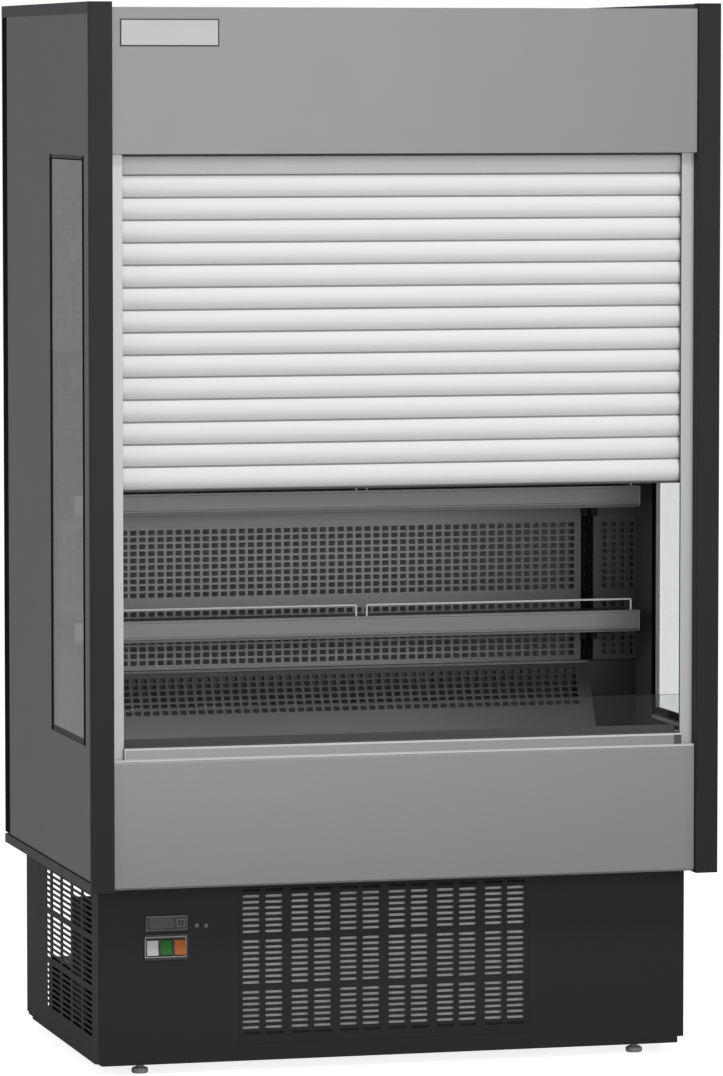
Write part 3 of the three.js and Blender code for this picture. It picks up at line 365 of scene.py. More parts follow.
def finish(name, rgb, roughness=0.4, metallic=0.0, mottle=0.06, spread=0.08, grain=900.0,
           height=0.1, stretch=(1, 1, 1), specular=0.4, painted_shade=None):
    """A material whose colour, roughness and normal come from the surface_grain group. With a
    painted shade of x0, x1 and share, its colour falls smoothly to that share from x0 to x1."""
    material, tree, shader = new_material(name)
    shader.inputs["Metallic"].default_value = metallic
    shader.inputs["Specular IOR Level"].default_value = specular
    varied = tree.nodes.new("ShaderNodeGroup")
    varied.node_tree = GRAIN
    for title, value in [("Colour", opaque(rgb)), ("Mottle", mottle), ("Roughness", roughness),
                         ("Spread", spread), ("Grain Size", grain), ("Grain Height", height),
                         ("Stretch", stretch)]:
        varied.inputs[title].default_value = value
    colour = varied.outputs["Colour"]
    if painted_shade:
        x0, x1, share = painted_shade
        apart, ramp = tree.nodes.new("ShaderNodeSeparateXYZ"), tree.nodes.new("ShaderNodeMapRange")
        ramp.interpolation_type = "SMOOTHSTEP"
        for title, value in [("From Min", x0 / 1000), ("From Max", x1 / 1000), ("To Min", 1.0),
                             ("To Max", share)]:
            ramp.inputs[title].default_value = value
        tree.links.new(own_place(tree), apart.inputs[0])
        tree.links.new(apart.outputs["X"], ramp.inputs["Value"])
        colour = scaled(tree, colour, ramp.outputs["Result"])
    tree.links.new(colour, shader.inputs["Base Color"])
    tree.links.new(varied.outputs["Roughness"], shader.inputs["Roughness"])
    tree.links.new(varied.outputs["Normal"], shader.inputs["Normal"])
    return material


def clear_glass(name, rgb, bending):
    """Clear glass of a given bending of light, with faint smears in its gloss."""
    material, tree, shader = new_material(name)
    shader.inputs["Base Color"].default_value = opaque(rgb)
    shader.inputs["Transmission Weight"].default_value = 1.0
    shader.inputs["IOR"].default_value = bending
    smear = tree.nodes.new("ShaderNodeTexNoise")
    smear.inputs["Scale"].default_value = 5.0
    tree.links.new(own_place(tree), smear.inputs["Vector"])
    roughness = maths(tree, "MULTIPLY", smear.outputs["Fac"], 0.02)
    tree.links.new(roughness, shader.inputs["Roughness"])
    return material


# painted shade on the duct sheets, darker towards the right end: where it starts and ends along x,
# and the share of the colour that is left there
PAINTED_SHADE_RIGHT = (60, 470, 0.42)

grey_paint = finish("grey_paint", (117, 115, 116), 0.42, 0.25, grain=1400, height=0.12)
bumper_paint = finish("bumper_paint", (116, 114, 115), 0.42, 0.25, grain=1400, height=0.12)
charcoal_paint = finish("charcoal_paint", (22, 22, 22), 0.5, grain=1200, height=0.15, specular=0.2)
side_paint = finish("side_paint", (98, 99, 98), 0.5, grain=1200, height=0.15, specular=0.25)
cap_paint = finish("cap_paint", (62, 64, 67), 0.5, 0.1, specular=0.2)
rear_paint = finish("rear_paint", (15, 15, 16), 0.8, grain=1500, height=0.2, specular=0.02)
black_paint = finish("black_paint", (24, 24, 24), 0.55, grain=1500, height=0.2, specular=0.2)
shutter_paint = finish("shutter_paint", (197, 197, 197), 0.5, mottle=0.02, grain=1500, height=0.05,
                       specular=0.2)
# painted shade for the grooves between slats, put on the faces of each slat's neck
slat_neck_painted_shade = finish("slat_neck_painted_shade", (122, 121, 120), 0.6, mottle=0.04, specular=0.1)
guide_metal = finish("guide_metal", (160, 160, 159), 0.4, 0.3, mottle=0.03)
silver_rail = finish("silver_rail", (124, 123, 124), 0.35, 0.6, stretch=(0.02, 1, 1), grain=1500)
# pale paint for painted highlights along the sill's top edge and the bumper's nose
edge_highlight_paint = finish("edge_highlight_paint", (178, 177, 177), 0.4, 0.2)
# pale paint that is also painted light: it lifts the wall strip out of its shade, stands in for the
# bright view through the right window, and hides the shade in the gap at the sill's left end
pale_paint_and_painted_light = finish("pale_paint_and_painted_light", (222, 222, 222), 0.35, 0.1)
liner_paint = finish("liner_paint", (132, 131, 131), 0.5, 0.1, grain=1200)
# these two paints carry painted shade that darkens them towards the right end
duct_paint = finish("duct_paint", (134, 133, 133), 0.5, 0.1, grain=1200, painted_shade=PAINTED_SHADE_RIGHT)
lower_paint = finish("lower_paint", (90, 90, 89), 0.5, 0.1, grain=1200, painted_shade=PAINTED_SHADE_RIGHT)
skirt_paint = finish("skirt_paint", (52, 53, 52), 0.5, grain=1200, height=0.15, specular=0.25)
# the duct sheet's paint made darker for the narrow sheets at the ends: painted shade for the
# corners by the end walls
duct_side_painted_shade = finish("duct_side_painted_shade", (76, 75, 75), 0.5, 0.1, grain=1200)
standard_paint = finish("standard_paint", (12, 12, 12), 0.7, specular=0.05)
deck_paint = finish("deck_paint", (46, 47, 46), 0.5, 0.1, grain=1200)
shelf_paint = finish("shelf_paint", (98, 96, 96), 0.45, 0.2, grain=1200)
rail_strip = finish("rail_strip", (129, 128, 128), 0.4, 0.1)
wire_coating = finish("wire_coating", (225, 225, 225), 0.35)
dark_void = finish("dark_void", (20, 20, 21), 0.8)
duct_shadow = finish("duct_shadow", (104, 104, 108), 0.7)
window_frame = finish("window_frame", (15, 15, 15), 0.8, specular=0.02)
window_sill = finish("window_sill", (56, 57, 57), 0.6, specular=0.2)
foam_skin = finish("foam_skin", (150, 152, 150), 0.5, 0.1)
steel = finish("steel", (150, 152, 154), 0.35, 0.9, stretch=(0.02, 1, 1))
fin_metal = finish("fin_metal", (176, 178, 180), 0.4, 0.8)
coil_face = finish("coil_face", (192, 192, 192), 0.45, 0.1, mottle=0.5, spread=0.2, grain=500)
rubber = finish("rubber", (64, 63, 62), 0.8, mottle=0.15)
foot_grey = finish("foot_grey", (150, 148, 146), 0.6, mottle=0.1)
black_plastic = finish("black_plastic", (26, 27, 28), 0.45)
white_plastic = finish("white_plastic", (168, 168, 170), 0.45, specular=0.2)
green_plastic = finish("green_plastic", (22, 92, 26), 0.45, specular=0.15)
amber_plastic = finish("amber_plastic", (152, 82, 32), 0.45, specular=0.15)
display_face = finish("display_face", (60, 60, 58), 0.15)
# paint for the painted highlight round the controller's bezel
rim_highlight_paint = finish("rim_highlight_paint", (96, 92, 80), 0.4)
dark_rim = finish("dark_rim", (70, 70, 66), 0.4)
key_rim = finish("key_rim", (104, 110, 92), 0.4)
bright_rim = finish("bright_rim", (140, 139, 136), 0.35, 0.3)
screw_metal = finish("screw_metal", (92, 92, 92), 0.4, 0.5)
lamp_cover = finish("lamp_cover", (240, 240, 232), 0.3)
pane = clear_glass("pane", (216, 219, 218), 1.45)
riser_pane = clear_glass("riser_pane", (236, 238, 237), 1.3)


# ------------------------------------------------------------------ cabinet outside
def end_panels():
    """Each end panel is a sheet round its window, with a cap, a seam and a skirt. In the window
    are a frame, a sill and the glass, and a pale strip runs below it along the wall inside,
    painted pale so that it stands out in the shade it lies in. On the right a pale strip
    behind the rear bar is painted light for the bright view through the glass."""
    front = 12.3
    window_front, window_rear, window_foot, window_top = 48, 357, 632, 1728
    for hand, side in HANDS:
        x = span(side, PANEL_INSIDE, PANEL_OUTSIDE)
        panel = make_piece(f"end_panel_sheet_{hand}", *joined(
            box_faces(*x, front, window_front, PANEL_FOOT, PANEL_TOP),
            box_faces(*x, window_rear, PANEL_REAR, PANEL_FOOT, PANEL_TOP),
            box_faces(*x, window_front, window_rear, PANEL_FOOT, window_foot),
            box_faces(*x, window_front, window_rear, window_top, PANEL_TOP)), side_paint)
        make_piece(f"end_panel_cap_{hand}", *section_along_x(
            [[front, PANEL_TOP], [REAR, PANEL_TOP], [REAR, TOP - 3], [REAR - 3, TOP],
             [front, TOP]], *x), cap_paint, bevel=0.6)
        make_piece(f"end_panel_seam_{hand}", *box_faces(
            *span(side, PANEL_INSIDE, PANEL_OUTSIDE - 2.5), front, PANEL_REAR, SKIRT_TOP,
            PANEL_FOOT), dark_void, smooth=False)
        make_piece(f"end_panel_skirt_{hand}", *section_along_x(
            [[front, CABINET_FOOT], [REAR, CABINET_FOOT], [REAR, SKIRT_TOP], [front, SKIRT_TOP]],
            *x), skirt_paint, bevel=0.6)
        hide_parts(f"end_panel_{hand}")

        # the opening of the frame, whose rear bar is narrower on the right
        near, top = window_front + 23, window_top - 9
        far = window_rear - {"left": 14, "right": 4}[hand]
        x = span(side, 594.3, 608.8)
        make_piece(f"window_head_{hand}", *box_faces(*x, near, far, top + 2.5, window_top),
                   cap_paint, smooth=False)
        make_piece(f"window_frame_{hand}", *joined(
            box_faces(*x, window_front, near, window_foot, window_top),
            box_faces(*x, far, window_rear, window_foot, window_top),
            box_faces(*x, near, far, top, top + 2.5)), window_frame, smooth=False)
        make_piece(f"window_sill_{hand}", *box_faces(
            *x, near, far, window_foot, window_foot + 11), window_sill, smooth=False)
        glass = make_piece(f"window_pane_{hand}", *box_faces(
            *span(side, 603.4, 608.4), near - 2, far + 2, window_foot + 9, top + 2),
            pane, smooth=False)
        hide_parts(f"side_glass_{hand}")
        # painted light: the strip is painted pale so that it stands out in the shade it lies in
        make_piece(f"wall_strip_{hand}", *box_faces(
            *span(side, PANEL_INSIDE - 5, PANEL_INSIDE), 72, window_rear - 3, 622.5, 629),
            pale_paint_and_painted_light, bevel=0.6)
        if hand == "right":
            # painted light: a pale strip standing in for the bright view through the glass behind
            # the rear bar
            make_piece("window_jamb_painted_light_right", *box_faces(
                596, 608.6, far - 0.8, far - 0.1, window_foot + 11, top), pale_paint_and_painted_light, smooth=False)
            make_piece("window_border_right", *box_faces(
                593.4, 594.2, 345, 368, window_foot - 3, window_top), window_frame, smooth=False)


def rear_cover():
    """A pan across the back, and three panels on it, each held by two rows of screws."""
    edge, pan_rear = PANEL_OUTSIDE, 804.8
    pan = [[-edge, PANEL_REAR + 0.3], [edge, PANEL_REAR + 0.3], [edge, 803], [edge - 2, pan_rear],
           [2 - edge, pan_rear], [-edge, 803]]
    cover = make_piece("rear_cover_pan", *section_along_z(pan, PANEL_FOOT, PANEL_TOP - 0.3),
                       rear_paint, smooth=False)
    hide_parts("rear_cover")
    middles, half_panel, half_screws = (-400, 0, 400), 196, 184
    make_piece("rear_cover_panels", *joined(*[
        box_faces(x - half_panel, x + half_panel, pan_rear, REAR, 394, 1979) for x in middles]),
        cap_paint, bevel=0.5)
    spots = [(x + side * half_screws, REAR, z)
             for x in middles for side in (-1, 1) for z in np.linspace(410, 1963, 7)]
    head = [[4.2, -1.2], [4.0, -0.2], [2.6, 0.0], [0, 0.0]]
    make_piece("rear_cover_screws", *joined(*[turned_round(head, spot, 8) for spot in spots]),
               screw_metal)


def end_trims():
    """An upright trim on the front of each end panel, of sheet 3 mm thick."""
    outer, inner, thick = PANEL_OUTSIDE, TRIM_INSIDE, 3
    outline = [[outer, 0], [inner, 0], [inner, 30], [inner + thick, 30], [inner + thick, thick],
               [outer - thick, thick], [outer - thick, 12], [outer, 12]]
    for hand, side in HANDS:
        piece = make_piece(f"trim_{hand}", *section_along_z(
            np.array(outline) * [side, 1], CABINET_FOOT, TOP), charcoal_paint, bevel=1.0)
        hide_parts(f"end_trim_{hand}")


def front_panels():
    """The fascia with its bare plate, the bumper, the sill rail and the riser glass. The top of
    the bumper is a quarter turn: depth falls and height rises by 7 mm times cosine and sine."""
    fascia = [[8, 1731], [24, 1731], [24, 1733], [8, 1733], [8, 2000], [34, 2000], [34, 2002],
              [6, 2002], [6, 1731]]
    sheet = make_piece("fascia_sheet", *section_along_x(fascia, -FASCIA_END, FASCIA_END),
                       grey_paint, bevel=0.9)
    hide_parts("header_fascia")
    make_piece("badge_plate", *box_faces(-548, -365, 4.4, 5.4, 1932, 1978), silver_rail, bevel=0.4)
    make_piece("badge_border", *box_faces(-550.5, -362.5, 5.1, 6.2, 1929.5, 1980.5),
               black_plastic, bevel=0.4)

    a = np.linspace(0, np.pi / 2, 7)
    nose = np.stack([17 - 7 * np.cos(a), 599 + 7 * np.sin(a)], axis=1)
    bumper = np.concatenate([
        [[43.6, 604], [17, 604], [12, 599], [12, 369.5], [15, 366.5], [43.6, 366.5],
         [43.6, 364.5], [14, 364.5], [10, 368.5]], nose, [[43.6, 606]]])
    sheet = make_piece("bumper_sheet", *section_along_x(bumper, -FASCIA_END, FASCIA_END),
                       bumper_paint)
    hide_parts("front_bumper")
    seal = [[24, 1730.8], [24, 1729.4], [35, 1729.4], [35, 1726.5], [37, 1726.5], [37, 1730.8]]
    make_piece("fascia_seal", *section_along_x(seal, -541.5, 541.5), rubber, smooth=False)

    rail = [[16, 606], [76, 606], [76, 628], [68.3, 628], [68.3, 617], [61.7, 617], [61.7, 628],
            [19, 628], [16, 625]]
    sill = make_piece("sill_section", *section_along_x(rail, -SILL_END, SILL_END),
                      silver_rail, bevel=0.5)
    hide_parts("sill_rail")
    # painted highlights: thin pale strips over the sill's top chamfer and over the bumper's nose,
    # where light catches these edges
    lip = [[15.8, 625], [16.3, 624.8], [19.2, 627.8], [21, 628], [21, 628.3], [18.9, 628.3]]
    make_piece("sill_lip_highlight", *section_along_x(lip, -SILL_END, SILL_END), edge_highlight_paint, smooth=False)
    bead = [[11, 604], [12.4, 604.8], [16, 605.9], [16, 608.2], [13, 607.4], [11, 605.8]]
    make_piece("bumper_nose_highlight", *section_along_x(bead, -FASCIA_END, FASCIA_END),
               edge_highlight_paint, smooth=False)
    # lower_paint brings its painted shade here too, so this end is painted darker as if shaded
    make_piece("sill_end_right", *box_faces(527, 541.8, 15.3, 17, 606.5, 625.5),
               lower_paint, bevel=0.4)
    # painted light: a pale piece over the gap between sill and guide, so that the shade there does
    # not show
    make_piece("sill_end_painted_light_left", *box_faces(-542.6, -SILL_END, 16.2, 26.9, 606.2, 627.5),
               pale_paint_and_painted_light, smooth=False)
    make_piece("riser_gasket", *box_faces(-SILL_END, SILL_END, 58.2, 61.9, 628, 641),
               rubber, bevel=0.5)
    glass = make_piece("riser_sheet", *box_faces(-553.5, 553.5, 62, 68, 628.1, 698),
                       riser_pane, bevel=0.6)
    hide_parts("riser_glass")


# ------------------------------------------------------------------ shutter
SLAT = 41.66  # from one slat to the next
SLAT_FRONT, SLAT_CROWN = 38.0, 7.6
FIRST_SLAT = 1149.05  # underside of the lowest slat at rest
CURTAIN_TOP = 1830.0  # the height that slats would wind up to
TRAVEL_DOWN, TRAVEL_UP = 473.0, 620.0
LOWER_SLATS, UPPER_SLATS = 4, 22
# which upper slats show at rest, counted up from 0, and their places in the curtain
ON_SHOW = {1: 4, 2: 5, 4: 6, 6: 7, 8: 8, 9: 9, 11: 10, 13: 11, 15: 12, 17: 13}


def slat_profile(z, front):
    """A slat's outline over a height z. Its front falls back from the middle by the crown times
    the square of the height measured from there, from -1 to 1. Below it is a narrower neck, and
    its back is flat."""
    t = np.linspace(-1.0, 1.0, 17)
    low, high = z + 3.2, z + SLAT - 0.5
    face = np.stack([front + SLAT_CROWN * t**2, (low + high) / 2 + t * (high - low) / 2], axis=1)
    neck = front + SLAT_CROWN + 0.8
    back = [[neck + 1.0, high], [neck + 1.2, high - 4], [neck + 1.2, z + 1],
            [neck + 0.6, z - 0.7], [neck - 0.6, z - 0.6], [neck - 0.6, low]]
    return np.concatenate([face, back])


def make_slat(name, z, body, front=SLAT_FRONT):
    """A slat over a height z. The faces of its neck, those with their middles below its front,
    are painted darker: painted shade for the groove between slats."""
    piece = make_piece(name, *section_along_x(slat_profile(z, front), -SLAT_END, SLAT_END),
                       shutter_paint, body=body, turn=50)
    mesh = piece.data
    mesh.materials.append(slat_neck_painted_shade)
    middles = np.array([face.center[2] for face in mesh.polygons])
    mesh.polygons.foreach_set("material_index", (middles < (z + 3.1) / 1000).astype(np.int32))
    return piece


def share_of_travel(piece):
    """Bakes a piece's place into its mesh, where it stands at rest."""
    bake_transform(piece)


def curtain():
    """The slats. The lower ones ride on the shutter. Each upper one is set at its place at rest,
    which for those not on show comes from its height when the shutter is closed. Those
    not on show at rest wait inside the ones that are, 0.6 mm behind their fronts."""
    lower = [make_slat(f"slat_low_{k + 1}", FIRST_SLAT + k * SLAT, "shutter")
             for k in range(LOWER_SLATS)]
    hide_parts("shutter_lower_slats")
    closed_first = FIRST_SLAT + LOWER_SLATS * SLAT - TRAVEL_DOWN
    for k in range(UPPER_SLATS):
        closed = closed_first + k * SLAT
        if k in ON_SHOW:
            place, front = ON_SHOW[k], SLAT_FRONT
        else:  # the place nearest to where it would be on its way up to the curtain's top
            wound = closed + (CURTAIN_TOP - closed) * TRAVEL_DOWN / (TRAVEL_DOWN + TRAVEL_UP)
            place, front = round((wound - FIRST_SLAT) / SLAT), SLAT_FRONT + 0.6
        rest = FIRST_SLAT + place * SLAT
        slat = make_slat(f"slat_high_{k + 1:02d}", rest, None, front)
        share_of_travel(slat)
    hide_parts("shutter_upper_slats")


def bottom_bar():
    """The bar under the lowest slat, and its seal. The front of the bar falls back from its
    middle by 10.5 mm below and 7.6 mm above, times the square of the height from there."""
    z, high = 1104.0, 45.0
    t = np.linspace(0.0, 1.0, 15)
    fall = np.where(t < 0.5, 10.5, 7.6) * (2 * t - 1) ** 2
    face = np.stack([36.5 + fall, z + 3 + t * (high - 3.5)], axis=1)
    bar = np.concatenate([face, [[51, z + high], [54, z + high - 4], [54, z + 5], [51, z + 2.5]]])
    piece = make_piece("bottom_bar", *section_along_x(bar, -SLAT_END, SLAT_END), shutter_paint,
                       body="shutter", turn=50)
    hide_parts("shutter_bottom_bar")
    seal = [[42, z + 3], [42.5, z + 0.6], [44, z], [49, z], [50.5, z + 0.6], [51, z + 3]]
    make_piece("bottom_seal", *section_along_x(seal, -556, 556), rubber, body="shutter")


def guides():
    """The channel that each end of the curtain runs in, with the barrel's bearing plate at its
    head and a lip of rubber along its front."""
    channel = [[566, 27], [542, 27], [542, 30], [563, 30], [563, 59], [554, 59], [554, 62],
               [566, 62]]
    plate = [[60, 1825], [137, 1870], [137, 1920], [60, 1945]]
    for hand, side in HANDS:
        piece = make_piece(f"guide_channel_{hand}", *section_along_z(
            np.array(channel) * [side, 1], 606, 1958), guide_metal, bevel=0.5)
        make_piece(f"bearing_plate_{hand}", *section_along_x(plate, *span(side, 563, 566)),
                   guide_metal, bevel=0.4)
        make_piece(f"guide_lip_{hand}", *box_faces(
            *span(side, 541.5, 546), 30.1, 32.5, 607, 1730), rubber, smooth=False)
        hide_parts(f"shutter_guide_{hand}")


# ------------------------------------------------------------------ cold interior
DUCT_FRONT = 472.0
DUCT_FOOT, DUCT_TOP = 728.5, 1735.5
HOLE_PITCH_X, HOLE_PITCH_Z = 18.0, 13.5
HOLES = dict(half_u=6.8, half_v=4.8, thick=1.6, square=0.28)
CENTRE_COLUMNS = (np.arange(52) - 25.5) * HOLE_PITCH_X
ROW_GROUPS = [(742.5, 8), (873.9, 10), (1032.2, 10), (1190.6, 10), (1349.0, 10), (1507.3, 10)]
HOLE_ROWS = np.concatenate([z + np.arange(n) * HOLE_PITCH_Z for z, n in ROW_GROUPS])
STANDARD_X, STANDARD_HALF = 492.0, 12.4  # the slotted uprights, from the middle
LEDGE, LEDGE_END = 727.0, 493.0  # the height of the ledge over the lower sheet, and its end


def duct_wall():
    """The pierced sheets at the back of the shelves, and the slotted uprights between them."""
    rows = middles_to_edges(HOLE_ROWS, DUCT_FOOT, DUCT_TOP)
    centre = make_piece("duct_sheet_centre", *pierced_sheet(
        middles_to_edges(CENTRE_COLUMNS, -479.8, 479.8), rows, CENTRE_COLUMNS, HOLE_ROWS,
        place=upright(DUCT_FRONT), **HOLES), duct_paint, smooth=False)
    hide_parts("duct_panel_center")
    slots = np.arange(744.0, 1722.0, 25.4)
    for hand, side in HANDS:
        columns = np.sort((553.5 + (np.arange(4) - 1.5) * HOLE_PITCH_X) * side)
        # the narrow sheets take the darker paint, painted shade for the corners
        narrow = make_piece(f"duct_sheet_{hand}", *pierced_sheet(
            middles_to_edges(columns, *span(side, 505, 593.6)), rows, columns, HOLE_ROWS,
            place=upright(DUCT_FRONT), **HOLES), duct_side_painted_shade, smooth=False)
        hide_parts(f"duct_panel_{hand}")
        x = side * STANDARD_X
        standard = make_piece(f"standard_strip_{hand}", *pierced_sheet(
            [x - STANDARD_HALF, x, x + STANDARD_HALF], middles_to_edges(slots, 728.2, DUCT_TOP),
            [x - 6, x + 6], slots, 2.0, 8.0, 3.0, upright(DUCT_FRONT - 2)),
            standard_paint, smooth=False)
        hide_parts(f"shelf_standard_{hand}")


def lower_duct():
    """The pierced sheet that leans forward under the duct wall down to the deck, the ledge over
    it, and the dark behind the holes. Up the slope, depth and height grow by its sine and
    cosine."""
    slope = np.radians(27)
    foot_z = 588.3
    rise = LEDGE - 6 - foot_z
    foot_depth = DUCT_FRONT - rise * np.tan(slope)
    length = rise / np.cos(slope)
    along = length - 14 - np.arange(6)[::-1] * HOLE_PITCH_Z

    def leaning(u, v, w):
        """Places a sheet of x and distance v up the slope, set back by w times the cosine."""
        return placed(u, foot_depth + v * np.sin(slope) + w * np.cos(slope),
                      foot_z + v * np.cos(slope))

    lower = make_piece("lower_duct_sheet", *pierced_sheet(
        middles_to_edges(CENTRE_COLUMNS, -LEDGE_END, LEDGE_END),
        middles_to_edges(along, 0, length), CENTRE_COLUMNS, along, place=leaning, **HOLES),
        lower_paint, smooth=False)
    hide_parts("lower_duct_panel")
    ledge = [[467, LEDGE - 5], [474, LEDGE - 5], [474, LEDGE + 0.8], [467, LEDGE + 0.8]]
    make_piece("duct_ledge", *section_along_x(ledge, -LEDGE_END, LEDGE_END), shelf_paint,
               bevel=0.6)
    dark = [[500, 594], [502, 594], [502, 1734], [500, 1734]]
    make_piece("duct_dark", *section_along_x(dark, -592, 592), duct_shadow, smooth=False)


def shelves():
    """Four shelves on brackets, each with a price rail and two wire product stops on its front.
    The brackets hook into the uprights."""
    first, apart = 830, 243.6
    wire_depth, wire_thick = 348.6, 1.9
    for number in range(1, 5):
        top = first + (number - 1) * apart
        pan = [[352.2, top - 37], [354.2, top - 37], [354.2, top - 2], [467, top - 2],
               [467, top - 24], [469, top - 24], [469, top], [352.2, top]]
        tray = make_piece(f"shelf_tray_{number}", *section_along_x(pan, -SHELF_END, SHELF_END),
                          shelf_paint, bevel=0.5)
        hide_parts(f"shelf_{number}")
        plate = [[358, top - 2.2], [358, top - 14], [437, top - 34], [439, top - 56],
                 [446, top - 60], [469, top - 60], [469, top - 2.2]]
        for hand, side in HANDS:
            x = side * STANDARD_X
            make_piece(f"shelf_bracket_{number}_{hand}", *section_along_x(
                plate, x - 1.8, x + 1.8), black_paint, bevel=0.4)
            make_piece(f"shelf_hook_{number}_{hand}", *box_faces(
                x - 13, x + 19, 462, 469.6, top - 61, top - 37.2), black_paint, bevel=0.5)
            make_piece(f"shelf_clip_{number}_{hand}", *box_faces(
                x - 1.3, x + 1.3, 461, 462.2, top - 58, top - 38), wire_coating)
        strip = [[346.2, top - 31], [345, top - 30], [345, top - 27.5], [346.4, top - 26.5],
                 [346.4, top + 0.5], [345, top + 1.5], [345, top + 5], [346.2, top + 6],
                 [348, top + 5.4], [350.6, top], [350.6, top - 31]]
        rail = make_piece(f"price_strip_{number}", *section_along_x(strip, -SHELF_END, SHELF_END),
                          rail_strip, turn=25)
        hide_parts(f"price_rail_{number}")
        for hand, side in HANDS:
            x0, x1 = span(side, 10.5, 544)
            foot, head = top - 20, top + 27.2
            path = bent_path([[x0, wire_depth, foot], [x0, wire_depth, head],
                              [x1, wire_depth, head], [x1, wire_depth, foot]], 3.0)
            make_piece(f"wire_stop_{number}_{hand}", *wire_along(path, wire_thick), wire_coating)
        cap = [[346, top - 33], [352, top - 36.5], [395, top - 36.5], [395, top + 2],
               [346, top + 5]]
        for hand, side in HANDS:
            make_piece(f"rail_end_{number}_{hand}", *section_along_x(
                cap, *span(side, SHELF_END + 0.1, SHELF_END + 2)), white_plastic, bevel=0.5)


def deck():
    """The grille in front of the deck, through which the air goes back down."""
    rows = np.array([88.0, 98.0, 108.0, 118.0])
    columns = (np.arange(58) - 28.5) * 20
    grille = make_piece("return_sheet", *pierced_sheet(
        middles_to_edges(columns, -593.5, 593.5), middles_to_edges(rows, 76.5, 129.8), columns,
        rows, 7.5, 3.2, 2.0, lying(586)), deck_paint, smooth=False)
    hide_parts("return_grille")


# ------------------------------------------------------------------ machine base
GRILLE_COLUMNS = np.array([pair * 95 + slot * 44 - 280.0 for pair in range(6) for slot in (0, 1)])
GRILLE_ROWS = np.array([71.8 + group * 96.8 + row * 11.15
                        for group in range(3) for row in range(8)])
GRILLE_FOOT, GRILLE_TOP = 52, 349


def base_grilles():
    """The slotted sheets on the front and the ends of the base, and the plain margins round the
    slots on the ends."""
    rows = middles_to_edges(GRILLE_ROWS, GRILLE_FOOT, GRILLE_TOP)
    grille = make_piece("front_grille_sheet", *pierced_sheet(
        middles_to_edges(GRILLE_COLUMNS, -305, 264), rows, GRILLE_COLUMNS, GRILLE_ROWS, 17, 2.5,
        2.0, upright(102), sides=16, square=0.25), black_paint, smooth=False)
    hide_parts("front_grille")
    near, far, foot, top = 152, 710, 20, 371  # the slotted part of an end, and the whole end
    columns = np.array([196.0, 291.0, 386.0, 481.0, 554.0])
    halves = np.array([39.0, 39.0, 39.0, 39.0, 17.0])[:, None, None]
    front_edge = {"left": [[near, foot], [near, top], [104.4, top], [104.4, 24], [132, foot]],
                  "right": [[near, 32], [near, 359], [104.4, 359], [104.4, 32]]}
    for hand, side in HANDS:
        x = side * 576.0
        sheet = make_piece(f"side_grille_sheet_{hand}", *pierced_sheet(
            middles_to_edges(columns, near, far), rows, columns, GRILLE_ROWS, halves, 3.2, 2.0,
            end_on(x, side), sides=16, square=0.25), black_paint, smooth=False)
        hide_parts(f"side_grille_{hand}")
        ends = span(side, 574, 576)
        make_piece(f"side_margin_{hand}", *joined(
            section_along_x(front_edge[hand], *ends),
            section_along_x([[far, 29], [761, 29], [761, top], [far, top]], *ends),
            section_along_x([[near, foot], [far, foot], [far, GRILLE_FOOT],
                             [near, GRILLE_FOOT]], *ends),
            section_along_x([[near, GRILLE_TOP], [far, GRILLE_TOP], [far, top], [near, top]],
                            *ends)), black_paint, smooth=False)


def condenser():
    """The fins behind the front grille, whose ends are a zigzag 1.1 mm deep, the body they are
    on, and the tray beside it that the water drains to."""
    ridges = np.arange(-300.0, 261.0, 2.25)
    waves = np.stack([ridges, 107.4 + 1.1 * (np.arange(len(ridges)) % 2)], axis=1)
    face = np.concatenate([waves, [[260, 111], [-300, 111]]])
    coil = make_piece("condenser_face", *section_along_z(face, 77, 339), coil_face, smooth=False)
    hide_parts("condenser_coil")
    make_piece("condenser_body", *joined(
        box_faces(-300, 260, 111.2, 172, 77, 339), box_faces(-302, 262, 107, 172, 26, 76.8),
        box_faces(-300, 260, 107, 172, 339.2, 344)), black_paint, bevel=0.8)
    make_piece("drain_tray", *joined(
        box_faces(-553, -445, 540, 660, 26, 148), box_faces(-547, -451, 546, 654, 148, 151)),
        black_plastic, bevel=0.8)


CONTROL_X = -445.0  # the middle of the controller


def ring_faces(x0, x1, z0, z1, width, d0, d1):
    """Four bars round a rectangle, width mm wide inside its edges."""
    return joined(
        box_faces(x0, x1, d0, d1, z1 - width, z1), box_faces(x0, x1, d0, d1, z0, z0 + width),
        box_faces(x0, x0 + width, d0, d1, z0 + width, z1 - width),
        box_faces(x1 - width, x1, d0, d1, z0 + width, z1 - width))


